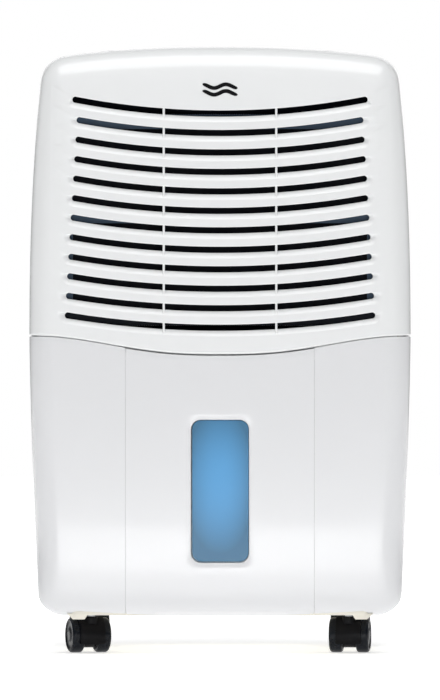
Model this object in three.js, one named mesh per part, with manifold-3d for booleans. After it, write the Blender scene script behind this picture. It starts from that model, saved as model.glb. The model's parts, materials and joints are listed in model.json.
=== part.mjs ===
// A portable compressor dehumidifier on four twin-wheel casters, in millimetres.
// +Z is up, the front faces -Y, and the origin is on the floor under the middle of the body.
import * as THREE from 'three';
import { mergeVertices } from 'three/addons/utils/BufferGeometryUtils.js';
import Module from 'manifold-3d';

const wasm = await Module();
wasm.setup();

// ---------------------------------------------------------------- driving dimensions

const HALF_WIDTH = 195; // at the waist, where the two front mouldings meet
const HALF_DEPTH = 140;
const TOP_Z = 621;
const BODY_BOTTOM_Z = 40;
const WAIST_Z = 326;
const WALL = 3;
const GAP = 0.4; // between fixed neighbours
const REACH = 20; // how far a cutter runs past what it cuts

// The body draws in above and below the waist, and its top is crowned.
const TOP_DRAW = 15.4;
const BOTTOM_DRAW = 10.5;
const CROWN = 14.9;
const FRONT_BOW = 4; // the front's plan curve, middle to side
const FRONT_LEAN_UP = 4; // how far the front leans back at the top
const FRONT_LEAN_DOWN = 3;

// The seam between the upper cover and the lower mouldings dips towards the middle.
const SEAM_MID_Z = 306;
const SEAM_RISE = 19;
const SEAM_POWER = 1.4;
const SEAM_HALF = 190;

const SPLIT_Y = -10; // where the front mouldings meet the rear cover

const SLOTS = 12;
const SLOT_PITCH = 19.9;
const SLOT_TOP_Z = 552.4;
const SLOT_OPEN = 6.2;
const SLOT_LIP = 5; // width of the sloped lip under each opening
const SLOT_LIP_DEPTH = 2.4;
const SLOT_HALF = 145; // of the second slot down, less one step
const TOP_SLOT_HALF = 150.5; // the top slot has no lip at its ends and reaches further
const SLOT_GROWTH = 1.2; // each slot is this much longer to each side than the one above
const SLOT_SMILE = 14.7; // how far the top slot rises at 150 from the middle
const SMILE_STEP = 0.27; // each slot below rises by this much less
const RIB_X = 57.3;
const RIB_WIDTH = 2.3;

const BAY_HALF = 96.4;
const BAY_BACK_Y = 24;
const BAY_TOP_Z = 300;
const FILTER_PATH_Z = 262; // the bay walls stop here at the front, so the filter can come down
const BUCKET_HALF = 95.7;
const BUCKET_BOTTOM_Z = 39;
const BUCKET_BACK_Y = -134.2; // rear face of the bucket front

const TUB = { half: 91, front: -133.6, back: 20, bottom: 48, top: 235, wall: 2.4, corner: 8 };
const WINDOW = { half: 29.5, bottom: 94, top: 239.6, corner: 10 };
const HANDLE = { y: -58, z: 241, arm: 44, half: 86.8 };
const FLOAT = { y: 10, z: 221, x: 62 };

const FILTER = { half: 165, bottom: 336, top: 551, front: -126, back: -121, side: 15 };
const FILTER_BARS = [[336, 350], [440, 449], [536, 551]];

const COIL = { half: 150, bottom: 328, top: 560, plate: 2, tube: 4 };
const BENDS = { count: 6, first: 350, pitch: 34, rise: 18, reach: 13, radius: 8 };
const TRAY = { half: 166, front: -114, back: -24, bottom: 303, top: 321, outletY: -62 };

const FAN = { z: 452, hub: 32, root: 28, tip: 96, blades: 5, blade: 2.4, chord: 54, pitch: 30 }; // degrees
const SHROUD = { half: 168, front: -22, back: -18, bottom: 324, top: 578, orifice: 103 };
const MOTOR = { radius: 40, front: 26, back: 82, shaft: 4 };

const COMPRESSOR = { x: -40, y: 84, foot: 52 };
const FOOT_POSTS = [[-84, 48], [4, 48], [-40, 120]];
const ACCUMULATOR = { x: 30, y: 78 };
const CAPACITOR = { x: 88, y: 60 };
const PIPES = { side: 178, coilZ: 345, bend: 12 };

const PANEL = { half: 112, front: -104, back: -54, bottom: 610.6, top: 614.6, corner: 8 };
const DISPLAY = { half: 29, front: -91, back: -67 };
const BUTTON_RADIUS = 6.2;
const BUTTON_Y = -79;
const LEDGE_Z = 610.2; // the panel's screws pull it down onto this
const BUTTONS = { power: -90, fan_speed: -66, humidity_down: 44, humidity_up: 68, timer: 92 };

const GRILLE = { half: 118, bottom: 338, top: 574, corner: 12 };
const GRILLE_SLOTS = { count: 17, pitch: 12.1, high: 7.2, inner: 3, outer: 104 };
const GRIP = { z: 485, high: 34, y: 70, long: 80, deep: 17 };
const DRAIN = { x: 70, z: 280, pocket: 21 };
const GLAND = { x: -120, z: 110, pocket: 17 };

const PAN = { halfX: 157, halfY: 131, bottom: 40.4, top: 44.4 };
const CASTER = { frontX: 132, rearX: 136, y: 84, trail: 12, wheel: 18 };
const HOOD = { radius: 20.8, wall: 2.3, half: 13, web: 6.3 };
const CASTER_YAW = { front_left: 16, front_right: -7, rear_left: 4, rear_right: -3 }; // degrees

// ---------------------------------------------------------------- shapes and solids

const X = new THREE.Vector3(1, 0, 0);
const Y = new THREE.Vector3(0, 1, 0);
const Z = new THREE.Vector3(0, 0, 1);

// A closed geometry as a solid that can be joined and cut.
function solid(geometry) {
  const bare = geometry.clone();
  bare.deleteAttribute('normal');
  bare.deleteAttribute('uv');
  const merged = mergeVertices(bare, 1e-4);
  return new wasm.Manifold(new wasm.Mesh({
    numProp: 3,
    vertProperties: merged.attributes.position.array,
    triVerts: new Uint32Array(merged.index.array),
  }));
}

// The solid's surface as a geometry again.
function surface(body) {
  const mesh = body.getMesh();
  const geometry = new THREE.BufferGeometry();
  geometry.setAttribute('position', new THREE.BufferAttribute(mesh.vertProperties, 3));
  geometry.setIndex(new THREE.BufferAttribute(mesh.triVerts, 1));
  return geometry;
}

function extrude(shape, depth, basis, options = {}) {
  const geometry = new THREE.ExtrudeGeometry(shape, {
    depth,
    bevelEnabled: false,
    curveSegments: 2, // an arc gets twice as many
    ...options,
  });
  return geometry.applyMatrix4(basis);
}

// A shape drawn in (y, z), run along X.
function alongX(shape, from, to, options) {
  const basis = new THREE.Matrix4().makeBasis(Y, Z, X).setPosition(from, 0, 0);
  return solid(extrude(shape, to - from, basis, options));
}

// A shape drawn in (x, z), run along Y.
function alongY(shape, from, to, options) {
  const basis = new THREE.Matrix4().makeBasis(X, Z, Y.clone().negate()).setPosition(0, to, 0);
  return solid(extrude(shape, to - from, basis, options));
}

// A shape drawn in (x, y), run along Z.
function alongZ(shape, from, to, options) {
  const basis = new THREE.Matrix4().setPosition(0, 0, from);
  return solid(extrude(shape, to - from, basis, options));
}

function box(x0, x1, y0, y1, z0, z1) {
  const geometry = new THREE.BoxGeometry(x1 - x0, y1 - y0, z1 - z0);
  return solid(geometry.translate((x0 + x1) / 2, (y0 + y1) / 2, (z0 + z1) / 2));
}

function rodX(radius, from, to, y, z, sides = 16) {
  const geometry = new THREE.CylinderGeometry(radius, radius, to - from, sides).rotateZ(-Math.PI / 2);
  return solid(geometry.translate((from + to) / 2, y, z));
}

function rodY(radius, from, to, x, z, sides = 16) {
  const geometry = new THREE.CylinderGeometry(radius, radius, to - from, sides);
  return solid(geometry.translate(x, (from + to) / 2, z));
}

function rodZ(radius, from, to, x, y, sides = 16) {
  const geometry = new THREE.CylinderGeometry(radius, radius, to - from, sides).rotateX(Math.PI / 2);
  return solid(geometry.translate(x, y, (from + to) / 2));
}

// A solid of revolution about Z. The profile holds [radius, z] pairs.
function turned(profile, x, y, sides = 20) {
  const points = profile.map(([radius, z]) => new THREE.Vector2(radius, z));
  const geometry = new THREE.LatheGeometry(points, sides).rotateX(Math.PI / 2);
  return solid(geometry.translate(x, y, 0));
}

// A round tube through corner points, with each corner rounded off.
function tube(corners, radius, bend, steps) {
  const points = corners.map((corner) => new THREE.Vector3(...corner));
  const path = new THREE.CurvePath();
  let start = points[0];
  for (let i = 1; i < points.length - 1; i += 1) {
    const entry = points[i].clone().add(points[i - 1].clone().sub(points[i]).setLength(bend));
    const exit = points[i].clone().add(points[i + 1].clone().sub(points[i]).setLength(bend));
    path.add(new THREE.LineCurve3(start, entry));
    path.add(new THREE.QuadraticBezierCurve3(entry, points[i], exit));
    start = exit;
  }
  path.add(new THREE.LineCurve3(start, points[points.length - 1]));
  return solid(new THREE.ExtrudeGeometry(circle(radius), {
    steps,
    curveSegments: 4,
    bevelEnabled: false,
    extrudePath: path,
  }));
}

function circle(radius, x = 0, y = 0) {
  return new THREE.Shape().absarc(x, y, radius, 0, 2 * Math.PI, false);
}

function polygon(points) {
  return new THREE.Shape(points.map(([x, y]) => new THREE.Vector2(x, y)));
}

function roundedRect(x0, x1, y0, y1, radius) {
  const shape = new THREE.Shape();
  shape.absarc(x1 - radius, y0 + radius, radius, -Math.PI / 2, 0, false);
  shape.absarc(x1 - radius, y1 - radius, radius, 0, Math.PI / 2, false);
  shape.absarc(x0 + radius, y1 - radius, radius, Math.PI / 2, Math.PI, false);
  shape.absarc(x0 + radius, y0 + radius, radius, Math.PI, 1.5 * Math.PI, false);
  return shape;
}

// Evenly spaced values from one end to the other, both included.
function spread(from, to, count) {
  return Array.from({ length: count + 1 }, (_, i) => from + ((to - from) * i) / count);
}

// ---------------------------------------------------------------- the outer body

// The silhouette seen from the front: half the width at a height.
function halfWidth(z) {
  if (z > WAIST_Z) {
    return HALF_WIDTH - TOP_DRAW * ((z - WAIST_Z) / (TOP_Z - WAIST_Z)) ** 2.27;
  }
  return HALF_WIDTH - BOTTOM_DRAW * ((WAIST_Z - z) / (WAIST_Z - BODY_BOTTOM_Z)) ** 1.46;
}

function crownZ(x) {
  return TOP_Z - CROWN * (Math.abs(x) / HALF_WIDTH) ** 2.325;
}

// How far back the front face stands at a height, and at a distance from the middle.
function leanY(z) {
  if (z > SEAM_MID_Z) {
    return -HALF_DEPTH + FRONT_LEAN_UP * ((z - SEAM_MID_Z) / (TOP_Z - SEAM_MID_Z)) ** 2;
  }
  return -HALF_DEPTH + FRONT_LEAN_DOWN * ((SEAM_MID_Z - z) / (SEAM_MID_Z - BODY_BOTTOM_Z)) ** 2;
}

function bowY(x) {
  return -HALF_DEPTH + FRONT_BOW * (x / 160) ** 2;
}

function seamZ(x) {
  const across = Math.min(Math.abs(x) / SEAM_HALF, 1);
  return SEAM_MID_Z + SEAM_RISE * ((1 - Math.cos(Math.PI * across)) / 2) ** SEAM_POWER;
}

// The front silhouette in (x, z), drawn anticlockwise, each face moved in by the inset.
function frontOutline(inset) {
  const bottom = BODY_BOTTOM_Z + inset;
  const shape = new THREE.Shape();
  const side = spread(66, 586, 13).map((z) => [halfWidth(z) - inset, z]);
  const top = spread(150, -150, 14).map((x) => [x, crownZ(x) - inset]);
  shape.moveTo(-158, bottom);
  shape.lineTo(158, bottom);
  shape.quadraticCurveTo(halfWidth(40) - inset, bottom, ...side[0]);
  side.slice(1).forEach((point) => shape.lineTo(...point));
  shape.quadraticCurveTo(halfWidth(609) - inset, crownZ(181) - inset, ...top[0]);
  top.slice(1).forEach((point) => shape.lineTo(...point));
  const [sideX, sideZ] = side[side.length - 1];
  shape.quadraticCurveTo(-halfWidth(609) + inset, crownZ(181) - inset, -sideX, sideZ);
  side.slice(0, -1).reverse().forEach(([x, z]) => shape.lineTo(-x, z));
  shape.quadraticCurveTo(-halfWidth(40) + inset, bottom, -158, bottom);
  return shape;
}

// The plan in (x, y): a bowed front with wide corners and a flat back.
function planOutline(inset) {
  const side = HALF_WIDTH - inset;
  const back = HALF_DEPTH - inset;
  const front = spread(-156, 156, 10).map((x) => [x, bowY(x) + inset]);
  const shape = new THREE.Shape();
  shape.moveTo(...front[0]);
  front.slice(1).forEach((point) => shape.lineTo(...point));
  shape.quadraticCurveTo(side, bowY(side) + inset, side, -94);
  shape.lineTo(side, 112);
  shape.quadraticCurveTo(side, back, 166, back);
  shape.lineTo(-166, back);
  shape.quadraticCurveTo(-side, back, -side, 112);
  shape.lineTo(-side, -94);
  shape.quadraticCurveTo(-side, bowY(side) + inset, ...front[0]);
  return shape;
}

// The side profile in (y, z).
function sideOutline(inset) {
  const top = TOP_Z - inset;
  const bottom = BODY_BOTTOM_Z + inset;
  const back = HALF_DEPTH - inset;
  const front = spread(578, 50, 12).map((z) => [leanY(z) + inset, z]);
  const shape = new THREE.Shape();
  shape.moveTo(-130, bottom);
  shape.lineTo(130, bottom);
  shape.quadraticCurveTo(back, bottom, back, 52);
  shape.lineTo(back, 592);
  shape.quadraticCurveTo(back, top, 112, top);
  shape.lineTo(-94, top);
  shape.quadraticCurveTo(leanY(TOP_Z) + inset, top, ...front[0]);
  front.slice(1).forEach((point) => shape.lineTo(...point));
  shape.quadraticCurveTo(leanY(BODY_BOTTOM_Z) + inset, bottom, -130, bottom);
  return shape;
}

function bodySolid(inset) {
  const fine = { curveSegments: 5 };
  const seenFromFront = alongY(frontOutline(inset), -HALF_DEPTH - REACH, HALF_DEPTH + REACH, fine);
  const seenFromAbove = alongZ(planOutline(inset), 0, TOP_Z + REACH, fine);
  const seenFromSide = alongX(sideOutline(inset), -HALF_WIDTH - REACH, HALF_WIDTH + REACH, fine);
  return seenFromFront.intersect(seenFromAbove).intersect(seenFromSide);
}

const FULL = bodySolid(0);
const SKIN = bodySolid(1); // what is joined to a wall ends inside it, not on its outer face
const PAN_OPENING = box(-PAN.halfX - GAP, PAN.halfX + GAP, -PAN.halfY - GAP, PAN.halfY + GAP, 30, 60);
const SHELL = FULL.subtract(bodySolid(WALL)).subtract(PAN_OPENING);

// All that lies above the seam, in front of the split.
function aboveSeam(gap) {
  const edge = spread(-HALF_WIDTH - REACH, HALF_WIDTH + REACH, 24).map((x) => [x, seamZ(x) + gap]);
  const far = HALF_WIDTH + REACH;
  return alongY(polygon([...edge, [far, 700], [-far, 700]]), -200, SPLIT_Y - GAP / 2);
}

function belowSeam(gap, half) {
  const edge = spread(half, -half, 24).map((x) => [x, seamZ(x) - gap]);
  return alongY(polygon([[-half, 0], [half, 0], ...edge]), -200, SPLIT_Y - GAP / 2);
}

// ---------------------------------------------------------------- front mouldings

// One louvre opening with its sloped lower lip. Its section is drawn in (y, z) about the face and
// the slot's middle, run along X, then closed at its ends and bent to the smile and to the face.
function slotCutter(middleZ, half, smile) {
  const open = SLOT_OPEN / 2;
  const section = polygon([
    [-8, -open - SLOT_LIP - 8],
    [0, -open - SLOT_LIP],
    [SLOT_LIP_DEPTH, -open],
    [WALL + 5, -open],
    [WALL + 5, open],
    [-8, open],
  ]);
  const steps = 12;
  const basis = new THREE.Matrix4().makeBasis(Y, Z, X).setPosition(-1, 0, 0);
  const geometry = extrude(section, 2, basis, { steps });
  const place = geometry.attributes.position;
  for (let i = 0; i < place.count; i += 1) {
    const along = Math.sin((place.getX(i) * Math.PI) / 2);
    const x = half * along;
    const full = Math.min(1, 0.3 + (half - Math.abs(x)) / 5);
    const z = middleZ + smile * (x / 150) ** 2;
    place.setXYZ(i, x, place.getY(i) + Math.max(bowY(x), leanY(z)), z + place.getZ(i) * full);
  }
  return solid(geometry);
}

function frontCover() {
  let cover = SHELL.intersect(aboveSeam(GAP / 2));
  const rim = box(-115, 115, -107, -51, 606.5, TOP_Z).intersect(SKIN);
  cover = cover.add(rim);
  cover = cover.subtract(alongZ(roundedRect(-112.4, 112.4, -104.4, -53.6, 8.4), LEDGE_Z, 640));
  cover = cover.subtract(box(-106, 106, -98, -60, 600, 640));
  for (let i = 0; i < SLOTS; i += 1) {
    const half = i > 0 ? SLOT_HALF + SLOT_GROWTH * i : TOP_SLOT_HALF;
    const smile = SLOT_SMILE - SMILE_STEP * i;
    cover = cover.subtract(slotCutter(SLOT_TOP_Z - SLOT_PITCH * i, half, smile));
  }
  for (const side of [-1, 1]) {
    const x = side * RIB_X;
    cover = cover.add(box(x - RIB_WIDTH / 2, x + RIB_WIDTH / 2, -150, -133.4, 328, 565).intersect(SKIN));
    const [inner, outer] = [165.6 * side, 168 * side].sort((a, b) => a - b);
    cover = cover.add(box(inner, outer, -150, -116, 345, 560).intersect(SKIN));
    const [lipIn, lipOut] = [160 * side, 168 * side].sort((a, b) => a - b);
    cover = cover.add(box(lipIn, lipOut, -119, -116, 345, 560));
  }
  return cover;
}

// The cheeks beside the bucket, joined by the walls of the bucket's bay.
function lowerHousing() {
  let housing = SHELL.intersect(belowSeam(GAP / 2, HALF_WIDTH + REACH));
  const outside = BAY_HALF + WALL;
  const liner = box(-outside, outside, -138, BAY_BACK_Y + WALL, 47, BAY_TOP_Z);
  housing = housing.add(liner.intersect(SKIN));
  housing = housing.subtract(box(-BAY_HALF, BAY_HALF, -200, BAY_BACK_Y, 0, 400));
  const filterPath = box(-200, 200, -132, -112, FILTER_PATH_Z, 400).intersect(bodySolid(WALL));
  return housing.subtract(filterPath);
}

function bucketFront() {
  const profile = spread(330, BUCKET_BOTTOM_Z, 12).map((z) => [leanY(z), z]);
  const back = [[BUCKET_BACK_Y, BUCKET_BOTTOM_Z], [BUCKET_BACK_Y, 330]];
  const slab = alongX(polygon([...profile, ...back]), -BUCKET_HALF, BUCKET_HALF);
  const front = slab.intersect(belowSeam(1.2, BUCKET_HALF)).intersect(alongZ(planOutline(0), 0, 400));
  return front.subtract(alongY(windowOutline(0), -160, -120));
}

function windowOutline(inset) {
  const { half, bottom, top, corner } = WINDOW;
  return roundedRect(-half + inset, half - inset, bottom + inset, top - inset, corner - inset);
}

function windowLens() {
  const profile = spread(250, 80, 6).map((z) => [leanY(z) + 0.5, z]);
  const slab = alongX(polygon([...profile, [-134.6, 80], [-134.6, 250]]), -40, 40);
  return slab.intersect(alongY(windowOutline(GAP), -160, -120));
}

// A flat wave mark, standing proud of the cover.
function badge() {
  const top = spread(-18, 18, 24).map((x) => [x, 577.6 + 2.6 * Math.sin((x * Math.PI) / 9)]);
  const bottom = [...top].reverse().map(([x, z]) => [x, z - 3.2]);
  return alongY(polygon([...bottom, ...top].reverse()), -138.3, -137.5);
}

// ---------------------------------------------------------------- rear cover

function rearCover() {
  const behind = box(-300, 300, SPLIT_Y + GAP / 2, 200, 0, 700);
  let cover = SHELL.intersect(behind);
  cover = cover.add(box(-124, 124, 131, 138, 332, 580).intersect(SKIN));
  cover = cover.subtract(alongY(grilleOutline(-GAP), 135.8, 160));
  cover = cover.subtract(alongY(grilleOutline(7), 120, 160));
  for (const side of [-1, 1]) {
    cover = joinPocket(cover, handGrip(side, WALL), handGrip(side, 0));
  }
  cover = joinPocket(cover, rearPocket(DRAIN, 120, WALL), rearPocket(DRAIN, 120, 0));
  cover = cover.subtract(rodY(9.5, 110, 130, DRAIN.x, DRAIN.z));
  cover = joinPocket(cover, rearPocket(GLAND, 128, WALL), rearPocket(GLAND, 128, 0));
  return cover.subtract(rodY(8, 120, 130, GLAND.x, GLAND.z));
}

function joinPocket(cover, outside, hollow) {
  return cover.add(outside.intersect(SKIN)).subtract(hollow);
}

function handGrip(side, wall) {
  const depth = halfWidth(GRIP.z) - GRIP.deep - wall;
  const [x0, x1] = [side * depth, side * 210].sort((a, b) => a - b);
  const y = GRIP.long / 2 + wall;
  const z = GRIP.high / 2 + wall;
  return box(x0, x1, GRIP.y - y, GRIP.y + y, GRIP.z - z, GRIP.z + z);
}

function rearPocket({ x, z, pocket }, floorY, wall) {
  const half = pocket + wall;
  return alongY(roundedRect(x - half, x + half, z - half, z + half, 6 + wall), floorY - wall, 160);
}

function grilleOutline(inset) {
  const { half, bottom, top, corner } = GRILLE;
  const radius = Math.max(corner - inset, 3);
  return roundedRect(-half + inset, half - inset, bottom + inset, top - inset, radius);
}

function outletGrille() {
  let grille = alongY(grilleOutline(0), 136.2, 139.6);
  const { count, pitch, high, inner, outer } = GRILLE_SLOTS;
  for (let i = 0; i < count; i += 1) {
    const z = GRILLE.bottom + 15 + pitch * i;
    grille = grille.subtract(box(-outer, -inner, 130, 145, z, z + high));
    grille = grille.subtract(box(inner, outer, 130, 145, z, z + high));
  }
  return grille;
}

function drainSpout() {
  const { x, z } = DRAIN;
  return rodY(9, 100, 132, x, z).add(rodY(13, 113, 116.6, x, z)).subtract(rodY(6, 90, 140, x, z));
}

function drainPlug() {
  return rodY(13, 121, 138, DRAIN.x, DRAIN.z).subtract(rodY(9.6, 110, 133, DRAIN.x, DRAIN.z));
}

function cordGland() {
  const { x, z } = GLAND;
  const flange = rodY(12, 128.4, 133, x, z);
  const nut = rodY(11, 118, 124.6, x, z, 6);
  return rodY(7.5, 118, 135, x, z).add(flange).add(nut).subtract(rodY(4.2, 100, 150, x, z));
}

// ---------------------------------------------------------------- control panel

function controlPanel() {
  const { half, front, back, bottom, top, corner } = PANEL;
  let panel = alongZ(roundedRect(-half, half, front, back, corner), bottom, top);
  panel = panel.subtract(box(-DISPLAY.half, DISPLAY.half, DISPLAY.front, DISPLAY.back, 600, 630));
  for (const x of Object.values(BUTTONS)) {
    panel = panel.subtract(rodZ(BUTTON_RADIUS + 0.5, 600, 630, x, BUTTON_Y));
  }
  return panel;
}

function displayLens() {
  const { half, front, back } = DISPLAY;
  const lens = box(-half + GAP, half - GAP, front + GAP, back - GAP, 608.6, 614.4);
  return lens.add(box(-half - 2, half + 2, front - 2, back + 2, 608.6, LEDGE_Z));
}

function pushButton(x) {
  return rodZ(BUTTON_RADIUS, 608.6, 616.2, x, BUTTON_Y).add(rodZ(8, 608.6, 610.1, x, BUTTON_Y));
}

// ---------------------------------------------------------------- the bucket

function bucketTub() {
  const { half, front, back, bottom, top, wall, corner } = TUB;
  const outer = alongZ(roundedRect(-half, half, front, back, corner), bottom, top);
  const inner = roundedRect(-half + wall, half - wall, front + wall, back - wall, corner - wall);
  let tub = outer.subtract(alongZ(inner, bottom + wall, top + REACH));
  for (const side of [-1, 1]) {
    const [x0, x1] = [87.6 * side, half * side].sort((a, b) => a - b);
    tub = tub.add(box(x0, x1, HANDLE.y - 8, HANDLE.y + 8, top - 10, top + 13));
    const lug = FLOAT.x + side * 15;
    tub = tub.add(box(lug - 1.7, lug + 1.7, 4, back - 1, 215, 227));
  }
  tub = tub.subtract(rodX(3.2, -120, 120, HANDLE.y, HANDLE.z));
  return tub.subtract(rodX(2.7, FLOAT.x - 22, FLOAT.x + 22, FLOAT.y, FLOAT.z, 12));
}

function bucketHandle() {
  const grip = HANDLE.y - HANDLE.arm;
  let handle = rodX(4.5, -HANDLE.half, HANDLE.half, grip, HANDLE.z, 12);
  for (const side of [-1, 1]) {
    const [x0, x1] = [83 * side, HANDLE.half * side].sort((a, b) => a - b);
    handle = handle.add(box(x0, x1, grip, HANDLE.y, HANDLE.z - 3.5, HANDLE.z + 3.5));
    handle = handle.add(rodX(4.6, x0, x1, HANDLE.y, HANDLE.z, 12));
    const [pin0, pin1] = [83.4 * side, 92.6 * side].sort((a, b) => a - b);
    handle = handle.add(rodX(2.7, pin0, pin1, HANDLE.y, HANDLE.z, 12));
  }
  return handle;
}

function floatPaddle() {
  const { x, y, z } = FLOAT;
  const block = alongX(roundedRect(-44, -18, 200, 219.5, 5), x - 17, x + 17, { curveSegments: 3 });
  const arm = box(x - 8, x + 8, -30, y, z - 2, z + 1);
  return block.add(arm).add(rodX(4, x - 12, x + 12, y, z, 12)).add(rodX(2.2, x - 18, x + 18, y, z, 12));
}

function floatSensor() {
  return box(50, 74, BAY_BACK_Y + WALL + GAP, 37, 208, 234);
}

// ---------------------------------------------------------------- air path

function filter() {
  const { half, bottom, top, front, back, side } = FILTER;
  let frame = box(-half, half, front, back, bottom, top);
  for (let i = 0; i < FILTER_BARS.length - 1; i += 1) {
    const [from, to] = [FILTER_BARS[i][1], FILTER_BARS[i + 1][0]];
    frame = frame.subtract(box(-half + side, half - side, front - 5, back - 1, from, to));
  }
  return frame;
}

// A finned block with an end plate at each end and return bends past one of them.
function coil(front, back, bendEnd) {
  const { half, bottom, top, plate, tube: radius } = COIL;
  let block = box(-half, half, front, back, bottom, top);
  block = block.add(box(-half - plate, -half, front - 2, back + 2, bottom - 4, top + 4));
  block = block.add(box(half, half + plate, front - 2, back + 2, bottom - 4, top + 4));
  const y = (front + back) / 2;
  const near = bendEnd * half;
  const far = bendEnd * (half + BENDS.reach);
  for (let i = 0; i < BENDS.count; i += 1) {
    const z = BENDS.first + BENDS.pitch * i;
    const path = [[near, y, z], [far, y, z], [far, y, z + BENDS.rise], [near, y, z + BENDS.rise]];
    block = block.add(tube(path, radius, BENDS.radius, 7));
  }
  return block;
}

function dripTray() {
  const { half, front, back, bottom, top, outletY } = TRAY;
  const hollow = box(-half + WALL, half - WALL, front + WALL, back - WALL, bottom + WALL, top + REACH);
  const tray = box(-half, half, front, back, bottom, top).subtract(hollow);
  return tray.add(rodZ(8, 292, 304, 0, outletY)).subtract(rodZ(5, 280, 310, 0, outletY));
}

function fanShroud() {
  const { half, front, back, bottom, top, orifice } = SHROUD;
  const plate = box(-half, half, front, back, bottom, top);
  const flange = rodY(orifice + 4, front + 1, 4, 0, FAN.z, 40);
  return plate.add(flange).subtract(rodY(orifice, -60, 60, 0, FAN.z, 40));
}

function fan() {
  const { z, hub, root, tip, blades, blade: thickness, chord, pitch } = FAN;
  let wheel = rodY(hub, -14, 14, 0, z, 30);
  for (let i = 0; i < blades; i += 1) {
    const blade = new THREE.BoxGeometry(tip - root, thickness, chord);
    blade.rotateX(THREE.MathUtils.degToRad(pitch));
    blade.translate((root + tip) / 2, 0, 0);
    blade.rotateY((i * 2 * Math.PI) / blades);
    wheel = wheel.add(solid(blade.translate(0, 0, z)));
  }
  return wheel.subtract(rodY(MOTOR.shaft + 0.5, -10.6, 40, 0, z));
}

function fanMotor() {
  const { radius, front, back, shaft } = MOTOR;
  return rodY(radius, front, back, 0, FAN.z, 30).add(rodY(shaft, -10, front + 4, 0, FAN.z, 12));
}

// A ring round the motor, with three arms that reach forward to the shroud.
function motorBracket() {
  const armY = 54;
  const legFront = SHROUD.back + GAP;
  const legBack = armY + 2.5;
  let bracket = rodY(MOTOR.radius + 5, armY - 6, armY + 6, 0, FAN.z, 30);
  for (let i = 0; i < 3; i += 1) {
    const arm = new THREE.BoxGeometry(78, 5, 12).translate(81, armY, 0);
    const leg = new THREE.BoxGeometry(5, legBack - legFront, 12);
    leg.translate(117.5, (legBack + legFront) / 2, 0);
    for (const piece of [arm, leg]) {
      piece.rotateY((i * 2 * Math.PI) / 3 - Math.PI / 6);
      bracket = bracket.add(solid(piece.translate(0, 0, FAN.z)));
    }
  }
  return bracket.subtract(rodY(MOTOR.radius + GAP, 0, 100, 0, FAN.z, 30));
}

// ---------------------------------------------------------------- refrigeration

// A welded steel shell with domed ends, on its foot plate.
function compressor() {
  const { x, y, foot } = COMPRESSOR;
  const profile = [[0, 56], [38, 58], [47, 68], [49, 82], [49, 208], [45, 224], [30, 234], [0, 238]];
  const weld = rodZ(51, 150, 154, x, y, 24);
  const plate = alongZ(roundedRect(x - 54, x + 54, y - 46, y + 46, 10), foot, foot + 3);
  return turned(profile, x, y).add(weld).add(plate).add(rodZ(30, foot + 2, 60, x, y));
}

function accumulator() {
  const profile = [[0, 96], [12, 98], [18, 106], [18, 208], [12, 216], [0, 218]];
  return turned(profile, ACCUMULATOR.x, ACCUMULATOR.y, 18);
}

// From the evaporator round the right side and down into the accumulator.
function suctionPipe() {
  const { x, y } = ACCUMULATOR;
  const { side, coilZ, bend } = PIPES;
  const turnZ = 285;
  const coilY = -92;
  return tube([
    [153, coilY, coilZ],
    [side, coilY, coilZ],
    [side, coilY, turnZ],
    [side, y, turnZ],
    [x, y, turnZ],
    [x, y, 218.5],
  ], 4.5, bend, 36);
}

// From the top of the compressor round the other side and up into the condenser.
function dischargePipe() {
  const { x, y } = COMPRESSOR;
  const { side, coilZ, bend } = PIPES;
  const turnZ = 266;
  const coilY = -48;
  return tube([
    [x, y, 238.5],
    [x, y, turnZ],
    [-side, y, turnZ],
    [-side, coilY, turnZ],
    [-side, coilY, coilZ],
    [-153, coilY, coilZ],
  ], 3.4, bend, 34);
}

function runCapacitor() {
  const { x, y } = CAPACITOR;
  return rodZ(18, 54, 120, x, y, 18).add(box(x - 6, x + 6, y - 4, y + 4, 118, 130));
}

// ---------------------------------------------------------------- base and casters

// A flat tray with a socket for each caster stem, a corner lip near each socket, three posts for
// the compressor and a plain pad in the middle of its underside.
function basePan() {
  const { halfX, halfY, bottom, top } = PAN;
  let pan = alongZ(roundedRect(-halfX, halfX, -halfY, halfY, 12), bottom, top);
  pan = pan.add(box(-70, 70, -70, 70, 38, bottom + 1));
  for (const side of [-1, 1]) {
    for (const end of [-1, 1]) {
      pan = pan.add(cornerLip(side, end));
      const x = side * (end < 0 ? CASTER.frontX : CASTER.rearX);
      pan = pan.add(rodZ(9, top - 1, 60, x, end * CASTER.y));
      pan = pan.subtract(rodZ(4.5, 30, 58.6, x, end * CASTER.y));
    }
  }
  for (const [x, y] of FOOT_POSTS) {
    pan = pan.add(rodZ(9, top - 1, COMPRESSOR.foot - GAP, x, y, 12));
  }
  return pan;
}

function cornerLip(side, end) {
  const outline = [[134, 42], [138, 36], [150, 36], [156, 42]].map(([x, z]) => [side * x, z]);
  const [from, to] = [end * 126.2, end * 130.6].sort((a, b) => a - b);
  return alongY(polygon(side > 0 ? outline : outline.reverse()), from, to);
}

// The stem stands at the caster's origin and the axle trails behind it.
function casterStem() {
  return rodZ(4, 24.4, 58, 0, 0, 16);
}

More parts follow.
